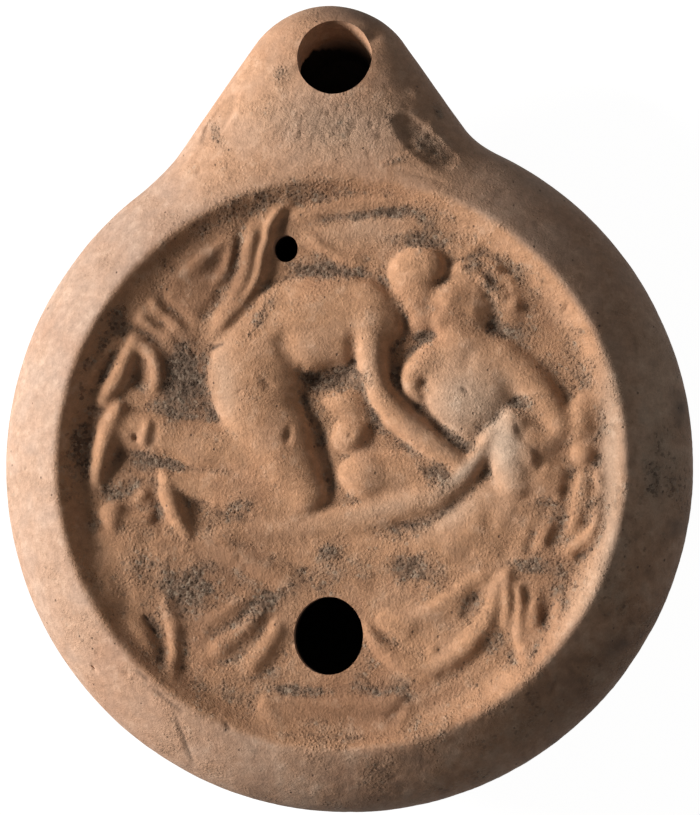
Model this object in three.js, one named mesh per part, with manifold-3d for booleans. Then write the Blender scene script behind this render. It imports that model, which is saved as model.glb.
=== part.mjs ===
// A mould-made oil lamp of fired clay: a round body with a sunken pictorial disc, a short rounded
// nozzle and no handle. Millimetres, +Z up, +Y towards the nozzle, origin at the middle of the flat
// underside. One hollow clay piece with a filling hole, an air hole and a wick hole.

import * as THREE from "three";
import Module from "manifold-3d";

// ---- driving dimensions -------------------------------------------------------------------

const bodyRadius = 42;
const seamHeight = 14.5; // where the two moulds meet, at the widest place
const baseRadius = 22;
const wall = 3.2;
const channelThickening = 2.4; // more clay round the wick's channel than elsewhere
const thickeningStart = 30; // along the nozzle, from the middle of the body
const thickeningEnd = 44;

const crestRadius = 34.5; // the ridge between shoulder and disc
const crestHeight = 23.92; // where slope and shoulder would meet, if the crest weren't rounded
const crestRound = 0.55; // how wide the crest is rolled over
const crestTurn = 2; // above 1, how far the slope turns over before the crest
const slopeFoot = 30.6; // where the slope inside the crest starts to rise
const discRadius = 31.5;
const discDrop = 2.4; // crest to the disc's edge
const discHollow = 0.8; // further fall to the middle
const reliefEdge = 31.2; // the relief fades out from here to just inside the crest
const plainRim = 0.8;

// Shoulder and underside, each from the crest or the seam to the next edge. A share is of its width.
const shoulder = { knee: 0.45, drop: 2.4, cheek: 4.5 };
const cavityShoulder = { knee: 0.45, drop: 2, cheek: 3.5 };
const nozzleFullness = 0.12; // how much fuller the cheek is, by how far the nozzle reaches out
const underside = { chine: 6.5, knee: 0.45, lift: 1.2 };
const ceilingRise = 0.3; // of the chamber's ceiling, from its middle ring to its edge
const hubRadius = 12; // of the ring in the middle of the ceiling

const nozzleOffset = -2.2; // the nozzle stands a little off the middle
const nozzleTipRadius = 11.2;
const nozzleTipCentre = 45; // from the middle of the body
const nozzleFlare = THREE.MathUtils.degToRad(35); // of each side, from the nozzle's axis
const nozzleRoot = 22; // where the nozzle's sides have run into the body
const neckBlend = 1.5;

const pinMiddle = crestHeight - 2; // height at which a leaning pin stands over its given place
const fillingHole = { x: -1.5, y: -20.7, width: 8.4, length: 9.4, lean: 0 };
const airHole = { x: -6.7, y: 26, width: 3, length: 3.3, lean: 0 };
const wickHole = { x: -0.9, y: 50.2, width: 9.1, length: 10.9, lean: THREE.MathUtils.degToRad(26) };

const limbBlend = 0.5; // how softly a limb of the relief runs into what is round it
const limbSteepness = 2;
const foldFade = 0.2; // share of a fold's length over which each end fades out
const foldSteps = 12;
const limbSteps = 8; // from one joint to the next

const baseGroove = { radius: 19, halfWidth: 0.9, depth: 0.7 };
const nozzleScars = [
  { x: 10.2, y: 38.9, along: 4.2, across: 1.9, turn: -38, depth: 0.6 },
  { x: -15, y: 42, along: 3.6, across: 1.3, turn: 58, depth: 0.45 },
];

const discRings = 26; // ring number k of the disc has 6 k corners, so they are evenly spread
const cornersPerRing = 6;
const shoulderRings = 7;
const undersideCorners = [120, 96, 84, 72, 60, 48];
const ceilingCorners = [24, 48];
const cavityCorners = 72;
const cavityRings = 5;
const cavityThinning = 8; // fewer corners on each ring down the chamber
const cutterSides = 24;
const halvings = 30; // in the search for the outline
const weldGrid = 1e4; // steps to a millimetre when corners are compared

// ---- plan outline -------------------------------------------------------------------------

const mix = THREE.MathUtils.lerp;
const clamp = THREE.MathUtils.clamp;
const smoothstep = THREE.MathUtils.smoothstep;

function smoothMax(a, b, blend) {
  const h = clamp(0.5 + (0.5 * (a - b)) / blend, 0, 1);
  return mix(b, a, h) + blend * h * (1 - h);
}

// How far a place in plan lies outside the lamp's outline; negative inside.
function outside(x, y) {
  const body = Math.hypot(x, y) - bodyRadius;
  const across = Math.abs(x - nozzleOffset);
  const ahead = y - nozzleTipCentre;
  const onTip = across * Math.sin(nozzleFlare) < ahead * Math.cos(nozzleFlare);
  const reach = onTip
    ? Math.hypot(across, ahead)
    : across * Math.cos(nozzleFlare) + ahead * Math.sin(nozzleFlare);
  const nozzle = Math.max(reach - nozzleTipRadius, nozzleRoot - y);
  return -smoothMax(-body, -nozzle, neckBlend);
}

// How thick the clay is, by how far along the nozzle.
function wallAt(y) {
  return wall + channelThickening * THREE.MathUtils.smoothstep(y, thickeningStart, thickeningEnd);
}

// Distance from the middle to the outline, drawn in by depth times the clay, in the direction of an angle.
function edgeAt(angle, depth) {
  let near = crestRadius;
  let far = 2 * bodyRadius;
  for (let halving = 0; halving < halvings; halving += 1) {
    const middle = (near + far) / 2;
    const y = middle * Math.sin(angle);
    const gap = outside(middle * Math.cos(angle), y) + depth * wallAt(y);
    if (gap < 0) near = middle;
    else far = middle;
  }
  return near;
}

// ---- the relief on the disc ---------------------------------------------------------------

function groundAt(radius) {
  const bowl = 1 - clamp(radius / discRadius, 0, 1) ** 2;
  const rise = clamp((radius - slopeFoot) / (crestRadius - slopeFoot), 0, 1);
  const slope = rise ** 2 * (crestTurn - (crestTurn - 1) * rise);
  return crestHeight - discDrop * (1 - slope) - discHollow * bowl;
}

// How much height the rounding takes from the crest and from what is near it.
function rolledOff(x, y) {
  const edge = edgeAt(Math.atan2(y, x), 0);
  const innerSlope = ((3 - crestTurn) * discDrop) / (crestRadius - slopeFoot);
  const outerSlope = shoulder.drop / (shoulder.knee * (edge - crestRadius));
  const off = Math.hypot(x, y) - crestRadius;
  return 0.5 * (innerSlope + outerSlope) * (Math.hypot(off, crestRound) - Math.abs(off));
}

// Distance from a place to a line, and the nearest point on it as a share of the way, 0 to 1.
function nearest(x, y, line) {
  const best = { distance: Infinity, share: 0 };
  for (let i = 0; i < line.length - 1; i += 1) {
    const dx = line[i + 1].x - line[i].x;
    const dy = line[i + 1].y - line[i].y;
    const along = ((x - line[i].x) * dx + (y - line[i].y) * dy) / (dx * dx + dy * dy);
    const t = clamp(along, 0, 1);
    const distance = Math.hypot(x - line[i].x - t * dx, y - line[i].y - t * dy);
    if (distance < best.distance) {
      best.distance = distance;
      best.share = (i + t) / (line.length - 1);
    }
  }
  return best;
}

// Each form is a function that takes a height and gives the height with the form on it.

// A soft fold along a line bent through three places, fading out at both ends.
function fold(start, via, end, width, height) {
  const bend = new THREE.SplineCurve([start, via, end].map((p) => new THREE.Vector2(...p)));
  const line = bend.getPoints(foldSteps);
  return (x, y, z) => {
    const { distance, share } = nearest(x, y, line);
    const fade = smoothstep(share, 0, foldFade) * smoothstep(1 - share, 0, foldFade);
    return z + height * fade * Math.exp(-((distance / width) ** 2));
  };
}

// Several folds spread evenly from a first bent line to a last one.
function folds(first, last, count, width, height) {
  const between = (i, k) => first[k].map((v, axis) => mix(v, last[k][axis], i / (count - 1)));
  const makeFold = (_, i) => fold(between(i, 0), between(i, 1), between(i, 2), width, height);
  return Array.from({ length: count }, makeFold);
}

// A rounded limb through joints given as [x, y, half width, height over the ground].
function limb(...joints) {
  const places = new THREE.SplineCurve(joints.map(([x, y]) => new THREE.Vector2(x, y)));
  const sizes = new THREE.SplineCurve(joints.map((joint) => new THREE.Vector2(joint[2], joint[3])));
  const line = places.getPoints(limbSteps * (joints.length - 1));
  return (x, y, z, ground) => {
    const { distance, share } = nearest(x, y, line);
    const { x: halfWidth, y: height } = sizes.getPoint(share);
    const dome = Math.sqrt(Math.max(0, 1 - (distance / halfWidth) ** 2));
    const skirt = limbSteepness * Math.max(0, distance - halfWidth);
    return smoothMax(z, ground + height * dome - skirt, limbBlend);
  };
}

function curtainForms() {
  const cloth = limb(
    [-12.4, 27.8, 2.4, 0.4],
    [-15.8, 24.3, 3.6, 0.5],
    [-17.8, 20.8, 3.8, 0.5],
    [-18.8, 17.6, 2.4, 0.4],
  );
  const cords = folds(
    [[-6.2, 31.3], [-9.2, 24.9], [-15.4, 15.2]],
    [[-10.1, 30.2], [-11.9, 22.2], [-15.9, 16]],
    2, 0.9, 0.9,
  );
  const gathered = folds(
    [[-11.8, 28.7], [-13.4, 23.6], [-16.2, 19.8]],
    [[-12.6, 28.7], [-17.6, 24.6], [-23, 21.4]],
    2, 0.9, 0.4,
  );
  const hem = folds(
    [[-24.8, 18.3], [-22, 16.2], [-19.7, 14.7]],
    [[-23.4, 20.2], [-20.9, 17.9], [-18.5, 16]],
    2, 0.7, 0.6,
  );
  const outerTail = fold([-26.9, 16.3], [-29.2, 12], [-30.8, 8.6], 0.9, 0.5);
  const tail = limb(
    [-25.4, 14.6, 0.9, 0.5],
    [-26.3, 12.4, 1.1, 0.8],
    [-27.3, 10, 1.1, 0.9],
    [-28.5, 7.8, 0.9, 0.7],
  );
  const innerTail = limb(
    [-25, 14.7, 1, 0.5],
    [-23.1, 13.5, 1.1, 0.7],
    [-22.5, 11.3, 1.1, 0.7],
    [-22.8, 9.3, 0.9, 0.5],
  );
  const spread = folds(
    [[-5.4, 30.2], [2.9, 31.6], [12.4, 30.6]],
    [[-5, 27.6], [-0.8, 25.7], [3.8, 23.7]],
    3, 0.9, 0.45,
  );
  return [cloth, ...cords, ...gathered, ...hem, outerTail, tail, innerTail, ...spread];
}

function bedForms() {
  const bolster = limb(
    [18.6, 3.8, 1.3, 1.1],
    [16.2, 0.4, 1.6, 1],
    [9.6, -4.5, 1.9, 0.85],
    [-1, -7.2, 1.6, 0.55],
    [-14, -8.6, 1.2, 0.3],
  );
  const underBolster = fold([17.6, -0.6], [11, -6.6], [1, -9.2], 0.8, -0.45);
  const cover = fold([21.6, -3.7], [14.7, -7.6], [5.8, -11.6], 4.4, 0.45);
  const leftCover = fold([-19.8, -9.6], [-11, -11.4], [-0.1, -11.6], 2.8, 0.4);
  const upperSwag = fold([19.4, -13], [12.2, -17.2], [3.2, -16.2], 1.2, 0.6);
  const lowerSwag = limb(
    [19.2, -14.4, 0.8, 0.5],
    [15.8, -21.2, 1.4, 0.75],
    [10.8, -24.4, 1.5, 0.65],
    [5, -21.9, 1.2, 0.45],
    [3.3, -19.2, 0.9, 0.3],
  );
  const rightTail = folds(
    [[20.1, -13.4], [20.3, -16.4], [20, -19.4]],
    [[26, -15.6], [25.9, -18.2], [25.4, -21.2]],
    4, 0.8, 0.65,
  );
  const leftSwag = folds(
    [[-18, -19.2], [-12.9, -17.4], [-9.2, -14.8]],
    [[-12.2, -26.4], [-8.8, -22.3], [-6.3, -18]],
    3, 1, 0.55,
  );
  const leftTail = limb(
    [-21, -17.2, 0.8, 0.5],
    [-20.6, -20.6, 0.9, 0.7],
    [-20.8, -23.4, 0.8, 0.65],
    [-20.4, -26.4, 0.7, 0.4],
  );
  const leftLump = limb([-25.6, -18.4, 1.2, 0.5], [-23.2, -21.8, 1.2, 0.5]);
  const sideFolds = folds(
    [[31.2, -3.8], [30.7, -7.4], [27.4, -10.9]],
    [[26, -0.1], [26, -4.7], [24.4, -11]],
    3, 0.9, 0.6,
  );
  const cushion = limb([28.6, 7.2, 1.8, 0.9], [29.8, 4, 2, 1]);
  const footstool = limb([-7.2, -30.2, 2.6, 0.5], [5.4, -30, 2.6, 0.5]);
  return [
    bolster, underBolster, cover, leftCover, upperSwag, lowerSwag, ...rightTail, ...leftSwag,
    leftTail, leftLump, ...sideFolds, cushion, footstool,
  ];
}

// The figure that lies back, with its head and chest to the right and its feet to the left.
function recliningForms() {
  const shin = limb(
    [-20.6, -2.2, 1.2, 0.8],
    [-16.4, -2.8, 2, 0.8],
    [-11, -3.9, 2.5, 0.8],
    [-5.6, -4.8, 2.3, 0.65],
  );
  const foot = limb(
    [-21.3, -1.7, 1, 0.9],
    [-20.9, -3.9, 1.4, 1.1],
    [-20, -6.2, 1.3, 1.1],
    [-18.7, -8.4, 0.8, 0.6],
  );
  const farFoot = limb([-27.9, -6.2, 1.7, 0.95], [-24.4, -4.2, 0.9, 0.6]);
  const hips = limb(
    [0.6, -1.4, 2.6, 1.15],
    [3, -1.5, 2.9, 1.2],
    [7, -1.4, 2.8, 0.8],
    [11.3, -1, 2, 0.45],
  );
  const lap = limb([0.8, 4.2, 2, 1], [0.8, 2.8, 2, 1]);
  const waist = limb([-1.4, 7.4, 1.7, 0.85], [2.5, 6.9, 1.8, 0.75]);
  const drapery = limb(
    [20.4, 5.8, 1.3, 1.2],
    [20, 3.4, 2.1, 1.5],
    [20.4, 0.4, 2.7, 1.6],
    [20.9, -2.4, 2.2, 1.1],
  );
  const farArm = limb(
    [19.6, 12.2, 2.5, 1.2],
    [22.2, 10, 2.6, 1.3],
    [24.8, 7, 2.3, 1.25],
    [26.6, 4.4, 1.8, 1.1],
  );
  const forearm = limb([26.2, 2.6, 1.9, 0.9], [22.9, 2.6, 2.2, 1]);
  const trunk = limb([15.6, 12.6, 4.6, 1.4], [15.5, 9.3, 5.6, 1.55], [14.9, 5.4, 3.4, 1.2]);
  const neck = limb([13.4, 16.2, 2.2, 1.3], [14.6, 13.6, 3, 1.4]);
  const nearArm = limb(
    [13.6, 13.4, 2, 1.4],
    [11.2, 12.4, 2.1, 1.45],
    [9.4, 10.7, 1.9, 1.4],
    [9.2, 8.4, 1.4, 1.1],
  );
  const hair = limb(
    [14.6, 22.3, 1.8, 0.7],
    [17.2, 22, 2.3, 0.6],
    [19.6, 20.2, 2, 0.55],
    [20.2, 17.9, 1.6, 0.4],
  );
  const head = limb([13, 20.2, 2.6, 1.6], [13.9, 18.8, 3.5, 1.65], [12.8, 17, 2, 1.45]);
  return [
    shin, foot, farFoot, hips, lap, waist, drapery, farArm, forearm, trunk, neck, nearArm, hair, head,
  ];
}

// The figure that kneels over it, facing right, with one arm reaching down.
function kneelingForms() {
  const shin = limb(
    [-4.2, -4.3, 2.1, 0.8],
    [-8, -0.9, 2.5, 1],
    [-12.4, 1.6, 2.6, 1.1],
    [-22.2, 3, 2.4, 0.85],
  );
  const ankle = limb([-22.3, 3.5, 2.4, 0.75], [-26.4, 4, 2.5, 0.8]);
  const foot = limb(
    [-27, 6.6, 1.1, 0.9],
    [-28.1, 4.4, 1.5, 1.2],
    [-29, 1.6, 1.5, 1.25],
    [-29.6, -1.4, 0.9, 0.8],
  );
  const trunk = limb(
    [-10.2, 11.2, 5.8, 1.6],
    [-7.6, 14.8, 5.9, 1.6],
    [-3.6, 17, 5.6, 1.65],
    [0.9, 17.6, 5.2, 1.7],
  );
  const belly = fold([-7.4, 15.6], [-2.1, 13.2], [1.9, 12], 1.8, -0.4);
  const thigh = limb(
    [-11, 10.2, 5.2, 1.75],
    [-9.4, 5.4, 5, 1.85],
    [-6.9, 0.8, 4, 1.75],
    [-4.4, -3.6, 2.5, 1.2],
  );
  const hair = limb([8.6, 23.5, 2.5, 1.45], [10.4, 23.7, 2.4, 1.3]);
  const face = limb([9.2, 22.6, 2.7, 1.35], [9.7, 20.2, 2.3, 1.3], [10.2, 17.6, 1.6, 1.15]);
  const upperArm = limb(
    [3.4, 19.2, 3, 1.7],
    [3.7, 15.6, 2.5, 1.9],
    [4, 12.2, 2.1, 1.9],
    [4.9, 8.8, 2.1, 1.85],
  );
  const reach = limb(
    [4.9, 8.8, 2.1, 1.85],
    [7.2, 5.4, 2.1, 1.7],
    [10.4, 2.8, 1.9, 1.5],
    [15.1, -0.4, 1, 0.8],
  );
  return [shin, ankle, foot, trunk, belly, thigh, hair, face, upperArm, reach];
}

const reliefForms = [...bedForms(), ...curtainForms(), ...recliningForms(), ...kneelingForms()];

function reliefAt(x, y) {
  const radius = Math.hypot(x, y);
  const ground = groundAt(radius);
  const worked = reliefForms.reduce((z, form) => form(x, y, z, ground), ground);
  const plain = smoothstep(radius, reliefEdge, crestRadius - plainRim);
  return mix(worked, ground, plain) - rolledOff(x, y);
}

// ---- the clay body ------------------------------------------------------------------------

// A place on the profile curve from one ring to the next, as [radius, height].
function onCurve(points, share) {
  const curve = new THREE.CubicBezierCurve(...points.map((p) => new THREE.Vector2(...p)));
  return curve.getPoint(share).toArray();
}

function shoulderProfile(edge, top, { knee, drop, cheek }) {
  const fuller = nozzleFullness * Math.max(0, edge - bodyRadius);
  return [
    [crestRadius, top],
    [mix(crestRadius, edge, knee), top - drop],
    [edge, seamHeight + cheek + fuller],
    [edge, seamHeight],
  ];
}

function undersideProfile(edge, foot, floor) {
  return [
    [edge, seamHeight],
    [edge, seamHeight - underside.chine],
    [mix(foot, edge, underside.knee), floor + underside.lift],
    [foot, floor],
  ];
}

// How deep the flake scars beside the nozzle are at a place.
function scarAt(x, y) {
  return nozzleScars.reduce((sum, scar) => {
    const turn = THREE.MathUtils.degToRad(scar.turn);
    const u = ((x - scar.x) * Math.cos(turn) + (y - scar.y) * Math.sin(turn)) / scar.along;
    const v = ((y - scar.y) * Math.cos(turn) - (x - scar.x) * Math.sin(turn)) / scar.across;
    return sum + scar.depth * Math.exp(-(u * u + v * v));
  }, 0);
}

// One closed ring of corners; place(angle) gives its radius and height there.
function ring(corners, place) {
  return Array.from({ length: corners }, (_, i) => {
    const angle = (2 * Math.PI * i) / corners;
    const [radius, height] = place(angle);
    const x = radius * Math.cos(angle);
    const y = radius * Math.sin(angle);
    return [x, y, typeof height === "function" ? height(x, y) : height];
  });
}

// Joins rings from the top middle, round the outside, to the bottom middle, facing outwards.
function closedBody(top, rings, bottom) {
  const corners = [top];
  const triangles = [];
  const starts = rings.map((points) => corners.push(...points) - points.length);
  const last = corners.push(bottom) - 1;
  const fan = (hub, start, count, outwards) => {
    for (let i = 0; i < count; i += 1) {
      const pair = [start + i, start + ((i + 1) % count)];
      triangles.push([hub, ...(outwards ? pair : pair.reverse())]);
    }
  };
  fan(0, starts[0], rings[0].length, true);
  for (let k = 0; k + 1 < rings.length; k += 1) {
    const [upper, lower] = [rings[k].length, rings[k + 1].length];
    let [i, j] = [0, 0];
    while (i < upper || j < lower) {
      const a = starts[k] + (i % upper);
      const b = starts[k + 1] + (j % lower);
      if (j >= lower || (i < upper && (i + 1) / upper <= (j + 1) / lower)) {
        i += 1;
        triangles.push([a, b, starts[k] + (i % upper)]);
      } else {
        j += 1;
        triangles.push([a, b, starts[k + 1] + (j % lower)]);
      }
    }
  }
  fan(last, starts.at(-1), rings.at(-1).length, false);
  return { corners, triangles };
}

function outerBody() {
  const rings = [];
  for (let k = 1; k <= discRings; k += 1) {
    rings.push(ring(cornersPerRing * k, () => [(crestRadius * k) / discRings, reliefAt]));
  }
  for (let k = 1; k <= shoulderRings; k += 1) {
    const place = (angle) => {
      const profile = shoulderProfile(edgeAt(angle, 0), crestHeight, shoulder);
      const [radius, height] = onCurve(profile, k / shoulderRings);
      const worn = (x, y) => height - scarAt(x, y) - rolledOff(x, y);
      return [radius, k < shoulderRings ? worn : height];
    };
    rings.push(ring(cornersPerRing * discRings, place));
  }
  undersideCorners.forEach((corners, k) => {
    const share = (k + 1) / undersideCorners.length;
    const profileAt = (angle) => undersideProfile(edgeAt(angle, 0), baseRadius, 0);
    rings.push(ring(corners, (angle) => onCurve(profileAt(angle), share)));
  });
  const { radius, halfWidth, depth } = baseGroove;
  const grooveSteps = [[radius + halfWidth, 0], [radius, depth], [radius - halfWidth, 0]];
  grooveSteps.forEach((step) => rings.push(ring(undersideCorners.at(-1), () => step)));
  return closedBody([0, 0, reliefAt(0, 0)], rings, [0, 0, 0]);
}

function cavity() {
  const ceiling = groundAt(0) - wall;
  const [hubCorners, rimCorners] = ceilingCorners;
  const rings = [
    ring(hubCorners, () => [hubRadius, ceiling]),
    ring(rimCorners, () => [discRadius - wall, ceiling + ceilingRise]),
  ];
  for (let k = 0; k <= cavityRings; k += 1) {
    const profileAt = (angle) => shoulderProfile(edgeAt(angle, 1), crestHeight - wall, cavityShoulder);
    rings.push(ring(cavityCorners, (angle) => onCurve(profileAt(angle), k / cavityRings)));
  }
  for (let k = 1; k <= cavityRings; k += 1) {
    const profileAt = (angle) => undersideProfile(edgeAt(angle, 1), baseRadius - wall, wall);
    const corners = cavityCorners - cavityThinning * k;
    rings.push(ring(corners, (angle) => onCurve(profileAt(angle), k / cavityRings)));
  }
  return closedBody([0, 0, ceiling], rings, [0, 0, wall]);
}

// A slightly oval pin that cuts a hole through the top; a lean carries its foot back to the body.
function holeCutter({ x, y, width, length, lean }) {
  const pin = new THREE.CylinderGeometry(0.5, 0.5, 2 * (crestHeight - seamHeight), cutterSides);
  pin.rotateX(Math.PI / 2);
  pin.scale(width, length, 1);
  pin.rotateX(-lean);
  pin.translate(x, y, pinMiddle);
  return weld(pin);
}

// Corners and triangles of a geometry, with the corners that share a place made one.
function weld(geometry) {
  const position = geometry.getAttribute("position");
  const known = new Map();
  const corners = [];
  const numberOf = (i) => {
    const corner = [position.getX(i), position.getY(i), position.getZ(i)];
    const key = corner.map((v) => Math.round(v * weldGrid)).join();
    if (!known.has(key)) known.set(key, corners.push(corner) - 1);
    return known.get(key);
  };
  const index = Array.from(geometry.index.array, numberOf);
  const triangles = [];
  for (let i = 0; i < index.length; i += 3) {
    const [a, b, c] = index.slice(i, i + 3);
    if (a !== b && b !== c && c !== a) triangles.push([a, b, c]);
  }
  return { corners, triangles };
}

// ---- booleans -----------------------------------------------------------------------------

const wasm = await Module();
wasm.setup();

function solid({ corners, triangles }) {
  const mesh = new wasm.Mesh({
    numProp: 3,
    vertProperties: new Float32Array(corners.flat()),
    triVerts: new Uint32Array(triangles.flat()),
  });
  return new wasm.Manifold(mesh);
}

function geometryOf(manifold) {
  const mesh = manifold.getMesh();
  const geometry = new THREE.BufferGeometry();
  geometry.setAttribute("position", new THREE.BufferAttribute(mesh.vertProperties, 3));
  geometry.setIndex(new THREE.BufferAttribute(mesh.triVerts, 1));
  geometry.computeVertexNormals();
  return geometry;
}

// ---- the lamp -----------------------------------------------------------------------------

const cutters = [cavity(), ...[fillingHole, airHole, wickHole].map(holeCutter)];
const body = cutters.reduce((clay, cutter) => clay.subtract(solid(cutter)), solid(outerBody()));

const clay = new THREE.MeshStandardMaterial({ color: 0xb0825f, roughness: 0.9, metalness: 0 });
const lamp = new THREE.Mesh(geometryOf(body), clay);
lamp.name = "lamp";

const part = new THREE.Group();
part.add(lamp);

export default part;
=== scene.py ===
"""A Roman oil lamp of fired clay: hollow round body, short rounded nozzle and a sunken relief disc.

Lengths here are in millimetres and turn into metres when a mesh is made.
"""

import math

import bpy
import numpy as np
from mathutils import Matrix, Vector, noise


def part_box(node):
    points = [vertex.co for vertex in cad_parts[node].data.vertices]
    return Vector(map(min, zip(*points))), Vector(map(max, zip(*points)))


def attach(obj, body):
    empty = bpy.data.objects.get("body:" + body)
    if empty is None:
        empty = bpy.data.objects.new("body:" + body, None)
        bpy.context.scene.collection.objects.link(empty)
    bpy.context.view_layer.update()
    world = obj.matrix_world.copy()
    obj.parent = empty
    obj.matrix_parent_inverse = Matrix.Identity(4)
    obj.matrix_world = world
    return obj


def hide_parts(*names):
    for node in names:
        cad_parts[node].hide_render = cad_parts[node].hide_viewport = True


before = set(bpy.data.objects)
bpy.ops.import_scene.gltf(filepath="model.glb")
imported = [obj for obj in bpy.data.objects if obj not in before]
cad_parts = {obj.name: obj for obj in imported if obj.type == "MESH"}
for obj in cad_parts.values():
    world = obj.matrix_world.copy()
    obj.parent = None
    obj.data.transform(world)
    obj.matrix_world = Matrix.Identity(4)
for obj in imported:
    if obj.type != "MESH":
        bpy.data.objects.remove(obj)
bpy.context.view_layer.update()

MM = 0.001
low, high = (np.array(corner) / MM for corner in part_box("lamp"))

# ---- driving dimensions, the same as the CAD model's

BODY_RADIUS = -low[0]
SEAM_HEIGHT = 14.5
BASE_RADIUS = 22.0
WALL = 3.2
CHANNEL_THICKENING = 2.4  # more clay round the wick's channel than elsewhere
THICKENING_START = 30.0
THICKENING_END = 44.0

CREST_RADIUS = 34.5
CREST_HEIGHT = 23.92  # where slope and shoulder would meet, unrounded
CREST_ROUND = 0.55  # how wide the crest is rolled over
CREST_TURN = 2.0  # above 1, how far the slope rolls over before the crest
SLOPE_FOOT = 30.6
DISC_RADIUS = 31.5
DISC_DROP = 2.4
DISC_HOLLOW = 0.8
RELIEF_EDGE = 31.2
PLAIN_RIM = 0.8  # just inside the crest, without relief

KNEE = 0.45  # where the shoulder turns down and the underside in, as a share of their width
KNEE_DROP = 2.4
CHEEK = 4.5  # how far the shoulder stands upright over the seam
NOZZLE_FULLNESS = 0.12  # how much fuller the cheek is, by how far the nozzle reaches out
CHINE = 6.5  # how far the underside hangs upright from the seam
LIFT = 1.2  # of the underside's knee over the base
CAVITY_DROP = 2.0
CAVITY_CHEEK = 3.5
CEILING_RISE = 0.3
HUB_RADIUS = 12.0  # of the rings in the middle of the ceiling and the floor

NOZZLE_OFFSET = -2.2
NOZZLE_TIP_RADIUS = 11.2
NOZZLE_TIP_CENTRE = high[1] - NOZZLE_TIP_RADIUS
NOZZLE_FLARE = math.radians(35)
NOZZLE_ROOT = 22.0
NECK_BLEND = 1.5

# x, y, width, length, lean
HOLES = {
    "filling_hole": (-1.5, -20.7, 8.4, 9.4, 0.0),
    "air_hole": (-6.7, 26.0, 3.0, 3.3, 0.0),
    "wick_hole": (-0.9, 50.2, 9.1, 10.9, math.radians(26)),
}
PIN_MIDDLE = CREST_HEIGHT - 2  # height at which a leaning hole stands over its given place
PIN_ENDS = (CREST_HEIGHT + 4, SEAM_HEIGHT - 4)

GROOVE_RADIUS = 19.0
GROOVE_HALF_WIDTH = 0.9
GROOVE_DEPTH = 0.7
FLAT_RADIUS = 17.0  # of the outermost ring inside the groove

# ---- fineness

GRID_STEP = 0.125  # of the height field over the lamp's top
GRID_MARGIN = 1.5
DISC_RINGS = 122
CORNERS_PER_RING = 6  # that each ring of the disc has more than the one inside it
SHOULDER_RINGS = 54
UNDERSIDE_CORNERS = (640, 560, 500, 450, 410, 370, 340, 310, 280, 260, 240, 220, 200, 180, 160)
GROOVE_RINGS = 9
FLAT_RINGS = 5
FLAT_CORNERS = 24
CAVITY_CORNERS = 180
CAVITY_RINGS = 10
HUB_CORNERS = 60
PIN_CORNERS = 72
PIN_RINGS = 28
HALVINGS = 30  # in the search for the outline

# ---- wear

RANDOM = np.random.default_rng(7)
uniform, normal = RANDOM.uniform, RANDOM.normal
WEAR = 0.26  # how far wear has rounded the relief
WARPS = ((2.2, 0.22), (0.7, 0.07))  # reach and amount of the shifts that keep lines from running true
CURLS = 24  # of hair
SCAR_LUMPS = 46
PRICKS = 170
CRUMBS = 3  # to a square millimetre of full grit
SHOULDER_PITS = 40
LUMP_SIZES = (6, 1.7, 0.62)
LUMP_HEIGHTS = (0.05, 0.022, 0.004)
CRUST_HEIGHT = 0.12  # of the smallest lumps, in full grit
GRAIN_HEIGHT = 0.07


# ---- plain mathematics


def smooth_max(a, b, blend):
    h = np.clip(0.5 + 0.5 * (a - b) / blend, 0, 1)
    return b + (a - b) * h + blend * h * (1 - h)


def smoothstep(low_edge, high_edge, value):
    t = np.clip((value - low_edge) / (high_edge - low_edge), 0, 1)
    return t * t * (3 - 2 * t)


def mix(a, b, share):
    return a + (b - a) * share


def blur(field, radius):
    """Gaussian blur of a grid; radius in millimetres."""
    reach = max(1, int(3 * radius / GRID_STEP))
    weights = np.exp(-0.5 * (np.arange(-reach, reach + 1) * GRID_STEP / radius) ** 2)
    weights /= weights.sum()
    for axis in (0, 1):
        padding = [(reach, reach) if k == axis else (0, 0) for k in (0, 1)]
        padded = np.pad(field, padding, mode="edge")
        size = field.shape[axis]
        field = sum(w * np.take(padded, range(i, i + size), axis) for i, w in enumerate(weights))
    return field


def spline(points, step=0.5):
    """A Catmull-Rom curve through points, whose first two values are x and y."""
    p = np.array(points, float)
    p = np.vstack([2 * p[0] - p[1], p, 2 * p[-1] - p[-2]])
    stretches = []
    for a, b, c, d in zip(p[:-3], p[1:-2], p[2:-1], p[3:]):
        count = max(2, int(np.hypot(*(c[:2] - b[:2])) / step))
        t = np.linspace(0, 1, count, endpoint=False)[:, None]
        bend = (2 * a - 5 * b + 4 * c - d) * t**2 + (3 * b - a - 3 * c + d) * t**3
        stretches.append(0.5 * (2 * b + (c - a) * t + bend))
    return np.vstack(stretches + [p[-2:-1]])


def nearest(x, y, line):
    """Distance to a line, the share of the way along it, and whether the place is on its left."""
    best = np.full(x.shape, np.inf)
    share = np.zeros(x.shape)
    on_left = np.zeros(x.shape, bool)
    steps = np.hypot(*np.diff(line[:, :2], axis=0).T)
    run = np.concatenate([[0], np.cumsum(steps)]) / steps.sum()
    for i, (a, b) in enumerate(zip(line[:-1, :2], line[1:, :2])):
        d = b - a
        t = np.clip(((x - a[0]) * d[0] + (y - a[1]) * d[1]) / (d @ d), 0, 1)
        distance = np.hypot(x - a[0] - t * d[0], y - a[1] - t * d[1])
        closer = distance < best
        best = np.where(closer, distance, best)
        share = np.where(closer, mix(run[i], run[i + 1], t), share)
        on_left = np.where(closer, d[0] * (y - a[1]) > d[1] * (x - a[0]), on_left)
    return best, share, on_left, run


# ---- plan outline and profiles


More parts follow.
